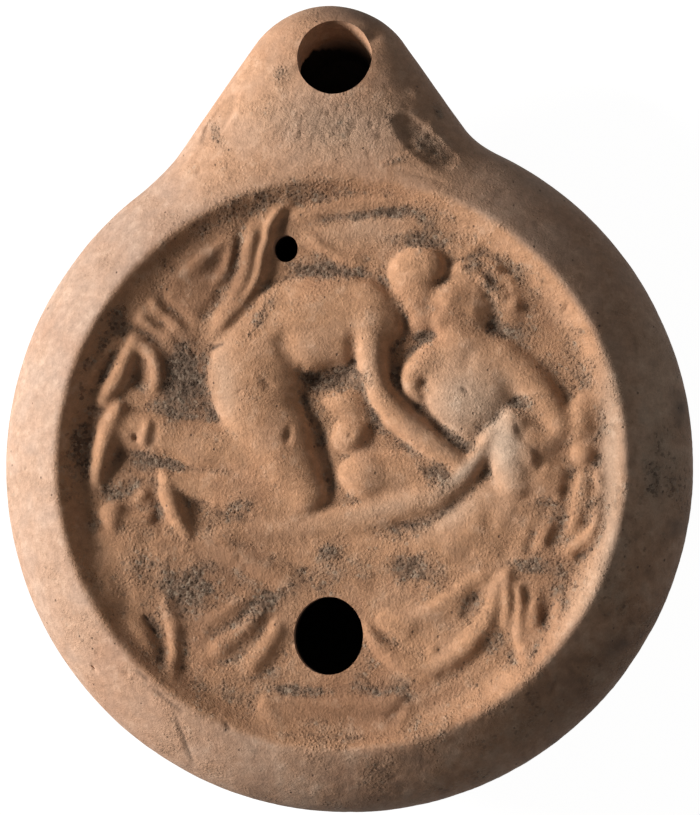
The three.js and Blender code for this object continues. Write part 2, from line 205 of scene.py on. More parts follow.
def outside(x, y):
    """How far a place in plan lies outside the lamp's outline; negative inside."""
    body = np.hypot(x, y) - BODY_RADIUS
    across = np.abs(x - NOZZLE_OFFSET)
    ahead = y - NOZZLE_TIP_CENTRE
    on_tip = across * math.sin(NOZZLE_FLARE) < ahead * math.cos(NOZZLE_FLARE)
    side = across * math.cos(NOZZLE_FLARE) + ahead * math.sin(NOZZLE_FLARE)
    reach = np.where(on_tip, np.hypot(across, ahead), side)
    nozzle = np.maximum(reach - NOZZLE_TIP_RADIUS, NOZZLE_ROOT - y)
    return -smooth_max(-body, -nozzle, NECK_BLEND)


def wall_at(y):
    """How thick the clay is, by how far along the nozzle."""
    return WALL + CHANNEL_THICKENING * smoothstep(THICKENING_START, THICKENING_END, y)


def edge_at(angle, depth):
    """Distance from the middle to the outline, drawn in by depth times the clay, at each angle."""
    near = np.full(angle.shape, CREST_RADIUS)
    far = np.full(angle.shape, 2 * BODY_RADIUS)
    for _ in range(HALVINGS):
        middle = (near + far) / 2
        x, y = middle * np.cos(angle), middle * np.sin(angle)
        inner = outside(x, y) + depth * wall_at(y) < 0
        near = np.where(inner, middle, near)
        far = np.where(inner, far, middle)
    return near


def on_curve(points, t):
    """A place on the cubic Bezier curve with the given control points, as radius and height."""
    weights = ((1 - t) ** 3, 3 * t * (1 - t) ** 2, 3 * t**2 * (1 - t), t**3)
    return [sum(w * point[k] for w, point in zip(weights, points)) for k in (0, 1)]


def shoulder_profile(edge, top, drop, cheek):
    fuller = NOZZLE_FULLNESS * np.maximum(0, edge - BODY_RADIUS)
    knee = mix(CREST_RADIUS, edge, KNEE)
    cheek_top = SEAM_HEIGHT + cheek + fuller
    return [(CREST_RADIUS, top), (knee, top - drop), (edge, cheek_top), (edge, SEAM_HEIGHT)]


def underside_profile(edge, foot, floor):
    knee = mix(foot, edge, KNEE)
    return [(edge, SEAM_HEIGHT), (edge, SEAM_HEIGHT - CHINE), (knee, floor + LIFT), (foot, floor)]


def slide(height, lean):
    """How far towards the nozzle a leaning hole has moved at a height."""
    return (height - PIN_MIDDLE) * math.tan(lean)


def ground_at(radius):
    """Height of the plain disc: its hollow floor, the slope round it and the crest."""
    bowl = 1 - np.clip(radius / DISC_RADIUS, 0, 1) ** 2
    rise = np.clip((radius - SLOPE_FOOT) / (CREST_RADIUS - SLOPE_FOOT), 0, 1)
    slope = rise**2 * (CREST_TURN - (CREST_TURN - 1) * rise)
    return CREST_HEIGHT - DISC_DROP * (1 - slope) - DISC_HOLLOW * bowl


def rolled_off(radius, angle):
    """How much height the rounding takes from the crest and what is near it."""
    inner_slope = (3 - CREST_TURN) * DISC_DROP / (CREST_RADIUS - SLOPE_FOOT)
    outer_slope = KNEE_DROP / (KNEE * (edge_at(angle, 0) - CREST_RADIUS))
    off = radius - CREST_RADIUS
    return 0.5 * (inner_slope + outer_slope) * (np.hypot(off, CREST_ROUND) - np.abs(off))


# ---- the relief's forms


class Relief:
    """A height field over the lamp's top, in which every form is raised or cut."""

    FOLD_REACH = 3  # widths of a fold beyond which nothing is left of it
    OVAL_REACH = 2.6
    LIMB_MARGIN = 1.5

    def __init__(self):
        size = BODY_RADIUS + GRID_MARGIN
        across = np.arange(-size, size, GRID_STEP)
        along = np.arange(-size, high[1] + GRID_MARGIN, GRID_STEP)
        self.corner = (across[0], along[0])
        self.x, self.y = np.meshgrid(across, along)
        self.ground = np.zeros(self.x.shape)
        self.z = np.zeros(self.x.shape)

    def patch(self, line, reach):
        """The part of the grid within reach of a line."""
        (x0, y0), (x1, y1) = line[:, :2].min(0) - reach, line[:, :2].max(0) + reach
        columns = slice(*(max(0, int((x - self.corner[0]) / GRID_STEP)) for x in (x0, x1)))
        rows = slice(*(max(0, int((y - self.corner[1]) / GRID_STEP)) for y in (y0, y1)))
        return rows, columns

    def fold(self, width, height, *points, left=None, ends=(0.2, 0.2)):
        """Adds a soft ridge, or cuts a groove; `left` is its width on the left of its run."""
        line = spline(points)
        at = self.patch(line, self.FOLD_REACH * max(width, left or 0))
        distance, share, on_left, _ = nearest(self.x[at], self.y[at], line)
        spread = np.where(on_left, left or width, width)
        fade = smoothstep(0, ends[0], share) * smoothstep(0, ends[1], 1 - share)
        self.z[at] += height * fade * np.exp(-((distance / spread) ** 2))

    def limb(self, *joints, soft=0.6, power=0.7, wall=1.6):
        """Raises a rounded limb through joints (x, y, half width, height above the ground)."""
        line = spline(joints)
        at = self.patch(line, line[:, 2].max() + self.LIMB_MARGIN)
        distance, share, _, run = nearest(self.x[at], self.y[at], line)
        half_width = np.interp(share, run, line[:, 2])
        height = np.interp(share, run, line[:, 3])
        dome = np.clip(1 - (distance / half_width) ** 2, 0, 1) ** power
        top = height * dome - wall * np.maximum(0, distance - half_width)
        self.z[at] = smooth_max(self.z[at], self.ground[at] + top, soft)

    def oval(self, x, y, rx, ry, turn):
        """Reach of an ellipse turned by degrees: the grid part, and 1 on its edge, 0 in its middle."""
        at = self.patch(np.array([[x, y]]), self.OVAL_REACH * max(rx, ry))
        c, s = math.cos(math.radians(turn)), math.sin(math.radians(turn))
        u = (self.x[at] - x) * c + (self.y[at] - y) * s
        v = (self.y[at] - y) * c - (self.x[at] - x) * s
        return at, np.hypot(u / rx, v / ry)

    def mound(self, x, y, rx, ry, turn, height, soft=0.6, power=0.8, wall=1.4):
        """Raises a domed oval."""
        at, reach = self.oval(x, y, rx, ry, turn)
        dome = np.clip(1 - reach**2, 0, 1) ** power
        top = height * dome - wall * min(rx, ry) * np.maximum(0, reach - 1)
        self.z[at] = smooth_max(self.z[at], self.ground[at] + top, soft)

    def swell(self, x, y, rx, ry, turn, height):
        """Adds a soft hump, or presses a hollow."""
        at, reach = self.oval(x, y, rx, ry, turn)
        self.z[at] += height * np.exp(-(reach**2))

    def swells(self, *rows):
        for row in rows:
            self.swell(*row)

    def scar(self, x, y, rx, ry, turn, depth):
        """Breaks off a shallow flake with a rather sharp edge."""
        at, reach = self.oval(x, y, rx, ry, turn)
        self.z[at] -= depth * smoothstep(1.15, 0.75, reach)

    def sample(self, field, x, y):
        """Reads a grid between its points."""
        column = np.clip((x - self.corner[0]) / GRID_STEP, 0, self.x.shape[1] - 1.001)
        row = np.clip((y - self.corner[1]) / GRID_STEP, 0, self.x.shape[0] - 1.001)
        i, j = row.astype(int), column.astype(int)
        v, u = row - i, column - j
        lower = mix(field[i, j], field[i, j + 1], u)
        upper = mix(field[i + 1, j], field[i + 1, j + 1], u)
        return mix(lower, upper, v)


def bed(f):
    """The mattress, its bolster and the cover hung in swags and tails."""
    # broad volumes
    f.swells(
        (15.5, -7.4, 7.5, 4, 35, 0.5), (-12, -10.8, 9, 2.6, -6, 0.45), (3, -9, 12, 2.6, 8, 0.2),
        (-26.4, -11.6, 4, 4, 0, 0.3), (9.5, -20.5, 7, 3, 10, 0.3), (-12, -21.4, 6, 3.4, 35, 0.35),
    )
    # bolster
    f.limb(
        (18.6, 3.8, 1.3, 1.1), (16.2, 0.4, 1.6, 1), (13.4, -2.3, 1.8, 0.95), (9.6, -4.5, 1.9, 0.85),
        (4.5, -6, 1.8, 0.7), (-1, -7.2, 1.6, 0.55), (-7, -8, 1.4, 0.45), (-14, -8.6, 1.2, 0.3), soft=0.8,
        power=0.8, wall=1.4,
    )
    f.fold(
        0.5, -0.4, (17.6, -0.6), (15.4, -3.6), (11, -6.6), (7.4, -7.7), (1, -9.2), left=0.9,
        ends=(0.3, 0.4),
    )
    f.swell(17.2, -1, 0.7, 1.2, -25, -0.4)
    f.fold(0.9, -0.18, (-3.6, -9.2), (-9, -9.5), (-14, -9.6))
    f.fold(0.8, -0.3, (-14.7, -9.6), (-9.4, -10.8), (-5.6, -12.2), (-2.2, -14))
    f.fold(1.2, 0.25, (-15, -10.8), (-9.8, -12.4), (-4.6, -15))
    f.fold(0.7, -0.25, (-18, -11.2), (-14.6, -12.8), (-10.8, -14.8))
    f.fold(0.25, -0.25, (-4.4, -8.6), (-4, -9.3), (-4, -10))
    # diagonal folds of the right cover
    f.fold(1.1, 0.2, (22.1, -4.3), (19.6, -7.6), (15.7, -11.6), left=1.8)
    f.fold(1, -0.18, (23, -5.2), (21.2, -8.6), (19.1, -12))
    f.fold(1.6, 0.2, (18.3, -5.9), (14.2, -9.2), (8.8, -12))
    f.fold(1, -0.18, (20, -6.5), (17.7, -9.4), (14.2, -12.1))
    f.fold(1.1, 0.2, (11.7, -8.8), (7.8, -10.6), (3.8, -11.8))
    f.swell(8.4, -13, 2.2, 1.3, -20, -0.3)
    f.swell(4.2, -14.6, 1.6, 1, -20, -0.2)
    # upper right swag, and the hollow under it
    f.fold(
        0.9, 0.45, (19.4, -13), (17, -14.1), (14.6, -15.4), (12.2, -17.2), (9, -18.4), (5.8, -17.8),
        (3.2, -16.2), left=1.5, ends=(0.15, 0.25),
    )
    f.fold(0.8, -0.35, (17.8, -14.9), (16.4, -16.6), (15, -18.6), (13.6, -20.2), ends=(0.3, 0.45))
    f.fold(0.8, -0.2, (14.4, -19.6), (11.6, -20), (8.4, -19.6))
    # lower right swag, lit along its top
    f.limb(
        (19.2, -14.4, 0.7, 0.5), (17.9, -18.4, 1.1, 0.65), (15.8, -21.2, 1.3, 0.7),
        (13.4, -23.4, 1.4, 0.7), (10.8, -24.4, 1.4, 0.65), (7.7, -23.9, 1.3, 0.65), (5, -22, 1.1, 0.6),
        (3.5, -19.4, 0.9, 0.5), soft=0.8, power=0.9, wall=0.9,
    )
    f.fold(0.7, -0.2, (18.6, -19.2), (16.6, -22.4), (13.6, -25), (10, -26), left=0.9)
    f.fold(0.5, -0.25, (3.2, -17.8), (5.2, -20.4), (7.4, -22.4))
    f.fold(0.8, 0.25, (4, -18.1), (6.2, -19.3), (8.8, -20.9))
    f.mound(10.9, -22.3, 1.1, 0.5, 0, 0.6, soft=0.4)
    # right tail
    f.limb((20, -13.6, 0.8, 0.6), (20.2, -16.4, 0.9, 0.75), (20, -19, 0.8, 0.5), wall=1.2)
    f.limb(
        (21.5, -15.2, 0.7, 0.5), (21.6, -18, 0.75, 0.7), (21.5, -20.8, 0.9, 0.65), (22, -23.6, 0.9, 0.4),
        wall=1.2,
    )
    f.fold(0.22, -0.3, (20.9, -15), (20.85, -17.2), (20.7, -18.8))
    f.fold(0.35, -0.22, (22.4, -14.8), (22.6, -18), (23, -21))
    f.fold(0.55, 0.3, (23.4, -15), (23.7, -18.4), (24.3, -22))
    f.mound(23, -19.6, 1, 2.6, -8, 0.6, soft=0.9)
    f.fold(0.8, -0.15, (24.2, -14.6), (24.9, -17.4), (25, -20.8))
    f.fold(0.6, 0.38, (26.2, -15.2), (26, -18.2), (25.2, -21.4))
    f.fold(0.4, -0.25, (27, -16.2), (26.9, -18), (26.5, -19))
    f.fold(0.3, -0.3, (24.4, -22), (23.4, -24), (21.6, -25.8), left=0.4)
    f.fold(0.6, 0.25, (22.3, -21.4), (22.4, -23.4), (21.6, -25.2))
    # left swag
    f.fold(0.9, 0.28, (-18, -19.2), (-14.4, -18.2), (-11.4, -16.4), (-9.2, -14.8))
    f.fold(0.9, 0.42, (-16.6, -23.2), (-12.6, -21), (-9.9, -18.6), (-8.4, -16.4), left=0.9)
    f.fold(0.6, -0.28, (-17, -20.9), (-13, -19.5), (-10.8, -17.6), (-9.2, -15.8))
    f.fold(1, 0.5, (-12.2, -26.4), (-9.9, -23.6), (-7.8, -21), (-6.3, -18), left=1.2, ends=(0.3, 0.25))
    f.fold(0.6, -0.25, (-17.4, -25), (-13.6, -23.8), (-10.8, -21.8), (-8.8, -19.4), (-7.5, -16.6))
    f.fold(0.7, -0.15, (-12, -27.6), (-8.9, -25.2), (-6.9, -22.4), (-5.6, -18.6), left=0.8)
    # left tail
    f.limb(
        (-21.4, -16.6, 0.7, 0.4), (-20.4, -19.8, 0.9, 0.6), (-20.1, -23, 0.9, 0.6),
        (-20.3, -26.4, 0.8, 0.4), soft=0.8, power=0.9, wall=0.9,
    )
    f.fold(0.7, -0.12, (-19.4, -19.4), (-19.2, -22.4), (-19.1, -25.6))
    f.fold(0.35, -0.15, (-22.6, -19.6), (-21.9, -22.4), (-21.8, -24.8))
    f.mound(-24.4, -20.2, 2.6, 1.3, -52, 0.55, soft=0.7, power=0.8, wall=0.8)
    f.fold(0.8, 0.2, (-26, -15.4), (-24.8, -17.4), (-23.2, -21), (-22.4, -24.6))
    f.fold(0.7, -0.22, (-28.2, -16.6), (-26.8, -19.4), (-24.9, -22.4))
    f.fold(1.1, 0.25, (-29, -9.6), (-28.3, -13.6), (-26.4, -17.5))
    f.fold(0.9, 0.2, (-26.3, -10.6), (-25.4, -13.6), (-24.2, -16.5))
    f.fold(1.2, 0.2, (-23, -8.4), (-21.6, -11), (-21.8, -14))
    # footstool
    f.limb(
        (-7.2, -30.2, 2.8, 0.45), (0, -30.2, 2.9, 0.45), (5.4, -30, 2.8, 0.5), soft=0.8, power=0.3,
        wall=0.9,
    )
    f.fold(0.8, -0.25, (-10, -26.7), (-2, -27.4), (8.3, -27.3))
    f.fold(0.8, 0.22, (-9.9, -27.4), (-8.6, -29.6), (-6.9, -32.2))
    f.fold(0.7, -0.3, (8.8, -27.4), (7.2, -29.4), (5.8, -31.6))
    # cushion and folds at the right edge
    f.mound(29.3, 5.4, 2.2, 3.2, -18, 1, soft=0.8, power=0.8, wall=0.8)
    f.mound(29.4, 1, 1.7, 1.3, 20, 0.8, soft=0.7, power=0.8, wall=1)
    f.fold(0.45, -0.12, (31.7, 3.2), (31.4, 0.8), (30.6, -1.6))
    f.fold(0.4, -0.3, (30.4, -0.4), (28.4, -1.2), (27.5, -2.4))
    f.mound(25.9, -2, 1.6, 2.2, 0, 0.7, soft=0.7, power=0.8, wall=1)
    f.fold(0.5, -0.3, (24.2, -0.6), (24.1, -2), (24.5, -4))
    f.limb(
        (29.4, -1.8, 0.9, 0.5), (29, -4.6, 1.1, 0.6), (28, -7.8, 0.9, 0.35), soft=0.8, power=0.9,
        wall=0.9,
    )
    f.fold(0.5, -0.28, (27.6, -2.4), (27.4, -5), (27, -7.8))
    f.mound(31.5, -2.2, 0.9, 1.6, 10, 0.7)
    f.mound(30.1, -4.8, 0.9, 2.4, 5, 0.65, soft=0.9)
    f.limb(
        (31.2, -4, 0.7, 0.6), (30.9, -6.6, 0.8, 0.8), (29.7, -9, 0.9, 0.8), (27.6, -10.8, 0.7, 0.5),
        soft=0.7, power=0.9, wall=1,
    )
    f.fold(0.4, -0.15, (30.2, -2.8), (30.1, -5.4), (29.4, -7.4), (28.3, -9))
    f.fold(0.35, -0.35, (32, -5.9), (31.5, -8), (30.2, -10.4), (27.9, -12))
    f.fold(0.7, -0.4, (27.2, -6.8), (26.4, -8.6), (25.3, -10.6), left=0.6)
    f.fold(0.6, 0.3, (25.6, -6.8), (24.9, -8.8), (24.2, -10.8))
    f.fold(0.5, -0.35, (24.2, -7.4), (23.5, -9.4), (22.5, -11.6))
    f.swell(24.8, -5.6, 1.6, 1.4, 0, -0.25)


def curtain(f):
    """The curtain drawn up at the left and spread along the top."""
    # broad cloth
    f.limb(
        (-12.4, 27.8, 2.4, 0.4), (-15.8, 24.3, 3.6, 0.5), (-17.8, 20.8, 3.8, 0.5),
        (-18.8, 17.6, 2.4, 0.4), soft=0.9, power=0.7, wall=0.8,
    )
    f.limb(
        (-17.8, 25.2, 1.6, 0.25), (-21.6, 21.9, 2.6, 0.35), (-23.8, 18.9, 2.2, 0.4), soft=0.9, power=0.7,
        wall=0.8,
    )
    f.swell(-20.6, 22.8, 2.4, 1.2, 40, -0.2)
    # the gathered bundle: two cords with a thin groove between them
    f.limb(
        (-6.4, 31.2, 0.8, 0.4), (-9, 29.4, 1.6, 0.5), (-9.7, 26.2, 1.9, 0.5), (-10.6, 23.2, 1.9, 0.5),
        (-12.4, 19.6, 1.9, 0.5), (-15.2, 16, 1.5, 0.45), soft=0.7, power=0.7, wall=1,
    )
    f.fold(
        0.62, 0.6, (-6.2, 31.3), (-8, 29.6), (-8.7, 26.4), (-9.6, 23.7), (-10.7, 21.1), (-12.9, 18),
        (-15.4, 15.2), ends=(0.12, 0.12),
    )
    f.fold(
        0.75, 0.5, (-10.1, 30.2), (-10.5, 26.6), (-11.4, 23.5), (-12.4, 20.8), (-14.1, 18), (-15.9, 16),
        left=0.9, ends=(0.2, 0.15),
    )
    f.fold(
        0.2, -0.28, (-8.9, 29.6), (-9.6, 26.4), (-10.4, 23.4), (-11.6, 20.6), (-13.4, 18),
        ends=(0.15, 0.2),
    )
    f.fold(
        0.5, -0.28, (-11.8, 28.7), (-12.2, 26.2), (-12.9, 23.5), (-14.2, 21.2), (-15.6, 19.8), left=0.4,
        ends=(0.2, 0.2),
    )
    f.fold(0.5, 0.22, (-12.4, 28.2), (-13.2, 25.6), (-14, 23.2), (-15.6, 21))
    f.swell(-15, 24.3, 0.9, 2, -25, -0.35)
    f.fold(0.3, 0.22, (-13.4, 22.2), (-14.7, 20.8), (-16.2, 19.8))
    f.fold(0.18, -0.15, (-13.8, 21.6), (-15, 20.4), (-16.4, 19.3))
    f.fold(0.8, 0.3, (-12.1, 28.7), (-14.2, 27), (-16.6, 25.2), (-19.8, 23.2), (-23, 21.4), left=1)
    f.fold(0.6, -0.25, (-14, 20.6), (-15.6, 18.8), (-17, 17.4))
    # hem
    f.fold(0.5, 0.42, (-24.8, 18.3), (-22.6, 16.7), (-21.2, 15.7), (-19.7, 14.7))
    f.fold(0.5, 0.42, (-23.4, 20.2), (-21.6, 18.5), (-20.2, 17.3), (-18.5, 16))
    f.fold(0.25, -0.15, (-23.6, 18.6), (-21.6, 17), (-19.6, 15.7))
    f.fold(0.5, -0.35, (-22.6, 20.9), (-20.6, 18.9), (-19.2, 17.7), (-17.8, 16.8), left=0.6)
    f.fold(0.5, -0.3, (-25.2, 16.8), (-23.4, 15.5), (-21.4, 14.3))
    # tail, arched over at its top
    f.fold(0.9, 0.4, (-26.9, 16.3), (-28.6, 13), (-29.8, 11), (-30.8, 8.6))
    f.fold(0.4, -0.2, (-27.2, 14), (-28.4, 11.8), (-29.5, 9.6))
    f.limb(
        (-25.4, 14.6, 0.9, 0.5), (-26.3, 12.4, 1.1, 0.8), (-27.3, 10, 1.15, 0.9), (-28.5, 7.8, 0.9, 0.7),
        wall=1.2,
    )
    f.limb(
        (-25, 14.7, 1.1, 0.5), (-23.1, 13.5, 1.15, 0.7), (-22.5, 11.3, 1.1, 0.7), (-22.8, 9.3, 0.9, 0.5),
        wall=1.2,
    )
    f.swell(-25.1, 10.3, 0.7, 1.2, -10, -0.45)
    # right spread
    f.limb(
        (-5.4, 30, 0.8, 0.4), (-2, 30.9, 0.9, 0.45), (2.6, 31.5, 0.9, 0.45), (7.6, 31.6, 0.9, 0.35),
        (12.4, 30.6, 0.9, 0.2), soft=0.7, power=0.8, wall=1,
    )
    f.fold(0.55, -0.3, (-4.6, 28.9), (-1.4, 29.6), (2.6, 30.1), (6, 30.2), (9.4, 30.4), left=0.35)
    f.fold(1.3, 0.25, (-5.2, 28.3), (-1.1, 28.6), (4.8, 28.8), (10.8, 28.2))
    f.fold(0.8, 0.4, (-5, 27.6), (-2.2, 26.2), (0.6, 24.9), (3.8, 23.7), left=0.6)
    f.fold(0.28, -0.32, (-4.2, 28.4), (-2, 27), (0, 25.9), (2, 25.1), (4, 24.2), left=0.35)
    f.fold(0.3, -0.28, (-5.2, 26.5), (-2.8, 25.3), (-0.4, 24.4))
    f.fold(0.35, 0.25, (-3.8, 27.6), (-1.4, 26.6), (1.2, 25.6), (3.6, 24.9))
    f.fold(0.4, -0.3, (-6, 31.4), (-6.8, 29.4), (-7, 27.4))
    # marks at the upper right
    f.fold(0.9, 0.2, (13.5, 24.3), (15.3, 24.8), (16.9, 26.5), (17.1, 28.3))
    f.fold(0.35, -0.3, (15, 24.2), (16.4, 24.9), (17.5, 26.3))
    f.swell(11.3, 26.7, 2.4, 1.2, 0, -0.2)


def lower_legs(f):
    """The reclining figure's shins and feet, and its hips between the two."""
    f.limb(
        (-20.6, -2.2, 1.2, 0.8), (-16.4, -2.8, 2, 0.8), (-11, -3.9, 2.5, 0.8), (-5.6, -4.8, 2.3, 0.65),
        soft=0.8,
    )
    f.limb(
        (-21.3, -1.7, 1, 0.9), (-20.9, -3.9, 1.45, 1.1), (-20, -6.2, 1.35, 1.1), (-18.7, -8.4, 0.8, 0.6),
    )
    f.swell(-17.3, -5, 0.9, 1.8, 4, -0.28)
    f.mound(-27.8, -6.1, 1.6, 1.8, 20, 0.95)
    f.limb((-26, -6.6, 1, 0.5), (-23.8, -6.8, 0.9, 0.4))
    f.mound(-24.4, -4, 1.2, 0.8, 10, 0.6)
    f.fold(0.45, -0.3, (-22.7, -4.4), (-22.3, -6), (-22.4, -7.4))
    f.fold(1, 0.25, (-30.3, -8), (-27.2, -8.9), (-23.8, -9))
    # hips and thighs between the figures
    f.mound(2.6, -1.4, 3.1, 2.9, -10, 1.2, soft=0.6, power=0.7, wall=1.2)
    f.limb((3, -1.6, 2.6, 1), (7, -1.4, 2.8, 0.7), (11.3, -1, 2, 0.4), soft=0.8, power=0.8, wall=1)
    f.mound(1, 3.5, 2.4, 2.1, 10, 1, soft=0.6, power=0.8)
    f.mound(0.4, 7.3, 2.8, 1.9, -10, 0.9, soft=0.8, power=0.8, wall=0.9)
    f.swell(3.8, 4.2, 1, 1.6, -30, -0.25)


def recliner(f):
    """The reclining figure's trunk, arms and head."""
    # draped lap
    f.limb(
        (20.5, 6.1, 1.2, 1.2), (20.4, 3.4, 2.5, 1.55), (20.9, 0.4, 3, 1.65), (21.2, -2.4, 2.4, 1.1),
        soft=0.6,
    )
    f.fold(0.9, 0.25, (17, 1.6), (18.4, 4.2), (20.4, 6.6))
    f.mound(24.2, -1.2, 1.6, 2.8, 0, 0.9, soft=1, power=0.8, wall=0.9)
    f.mound(21.4, 4.9, 1.6, 2, 0, 1.6, soft=1.2, power=0.6, wall=0.8)
    f.mound(23.2, 1.5, 1.7, 2.4, 0, 1.5, soft=1.2, power=0.6, wall=0.8)
    f.fold(0.5, -0.35, (22.4, 5.2), (23.9, 2.4), (24.3, -1.6))
    # elbow and forearm on the cushion
    f.mound(24.6, 2.4, 2.5, 2, -20, 0.9, soft=0.8, power=0.8, wall=1)
    f.mound(22.6, 3.9, 2, 3.3, 0, 1.1, soft=1, power=0.8, wall=1)
    f.fold(0.35, -0.25, (21.5, 5), (22.4, 3.2), (23.2, 1.4))
    f.limb(
        (19.6, 12.2, 2.5, 1.2), (22.2, 10, 2.6, 1.3), (24.8, 7, 2.3, 1.25), (26.6, 4.4, 1.8, 1.1),
        soft=0.7, power=0.75, wall=1.6,
    )
    # trunk
    f.mound(15.5, 9.3, 5.7, 5.2, 0, 1.55, soft=0.7, power=0.5, wall=1.6)
    f.limb(
        (15.4, 12.6, 4.4, 1.3), (15, 6.4, 4, 1.3), (14.8, 4.6, 2.6, 0.9), soft=0.8, power=0.6, wall=1.6,
    )
    f.swell(12.8, 8.6, 2.4, 2.8, 0, 0.25)
    f.swell(18, 9.8, 2.2, 2.6, 0, 0.2)
    f.fold(0.7, -0.22, (16.2, 14.6), (15.7, 12.6), (15.4, 10.6))
    f.fold(0.7, -0.3, (10.8, 5.4), (13, 3.4), (15.4, 2.4))
    # neck, near shoulder and arm
    f.limb((13.4, 16.2, 2.2, 1.3), (14.6, 13.6, 3, 1.4), soft=0.8, power=0.8)
    f.mound(11, 11.2, 2.2, 2.4, 0, 1.3, soft=0.8, power=0.7)
    f.limb(
        (13.6, 13.4, 2, 1.4), (11.2, 12.4, 2.1, 1.45), (9.4, 10.7, 1.9, 1.4), (9, 9, 1.5, 1.2), soft=0.6,
        wall=2,
    )
    f.mound(9.5, 8, 1.1, 0.8, -20, 1)
    f.swell(10.4, 9.5, 0.42, 0.38, 0, -0.6)
    # hair, low and tousled
    f.limb(
        (14.6, 22.3, 1.8, 0.8), (17.2, 22, 2.3, 0.7), (19.6, 20.2, 2, 0.6), (20.2, 17.9, 1.6, 0.4),
        wall=0.8,
    )
    for _ in range(CURLS):
        x, y = uniform((14.5, 18.5), (20.6, 23.4))
        f.swell(x, y, 0.6, 0.3, uniform(20, 70), uniform(-0.32, 0.2))
    f.fold(0.35, -0.3, (16.4, 23.6), (17.8, 22.4), (19, 21.4))
    f.fold(0.3, -0.25, (18.6, 22.6), (19.8, 21.2), (20.6, 19.6))
    f.fold(0.3, 0.25, (16.8, 22.2), (18, 20.8), (18.9, 19))
    f.mound(20.9, 18.9, 1, 0.9, 0, 0.75)
    f.mound(18.6, 23.2, 0.8, 0.6, -30, 0.7)
    f.swell(18.5, 15.9, 1, 0.8, 0, -0.4)
    # head: round at the front, falling away behind
    f.mound(13.2, 19.2, 2.7, 2.9, -10, 1.7, soft=0.6, power=0.65, wall=2.2)
    f.mound(15, 18.6, 3.3, 3.1, -10, 1.35, soft=0.9, power=0.8, wall=1.3)
    f.mound(12.2, 17, 1.7, 1.5, 20, 1.45, soft=0.7, power=0.8)
    f.swell(12.3, 19, 0.65, 0.4, 10, -0.16)
    f.swell(14.4, 18.9, 0.7, 0.4, -10, -0.13)
    f.fold(0.32, 0.12, (13.2, 19.6), (13.1, 18.6), (12.9, 17.8))
    f.swell(13, 16.7, 0.8, 0.25, 0, -0.12)
    f.swell(16.2, 18, 0.5, 0.8, 10, 0.16)
    f.fold(0.35, -0.3, (12.4, 22.6), (15.4, 22), (17.6, 20.4), (18.6, 18.2))


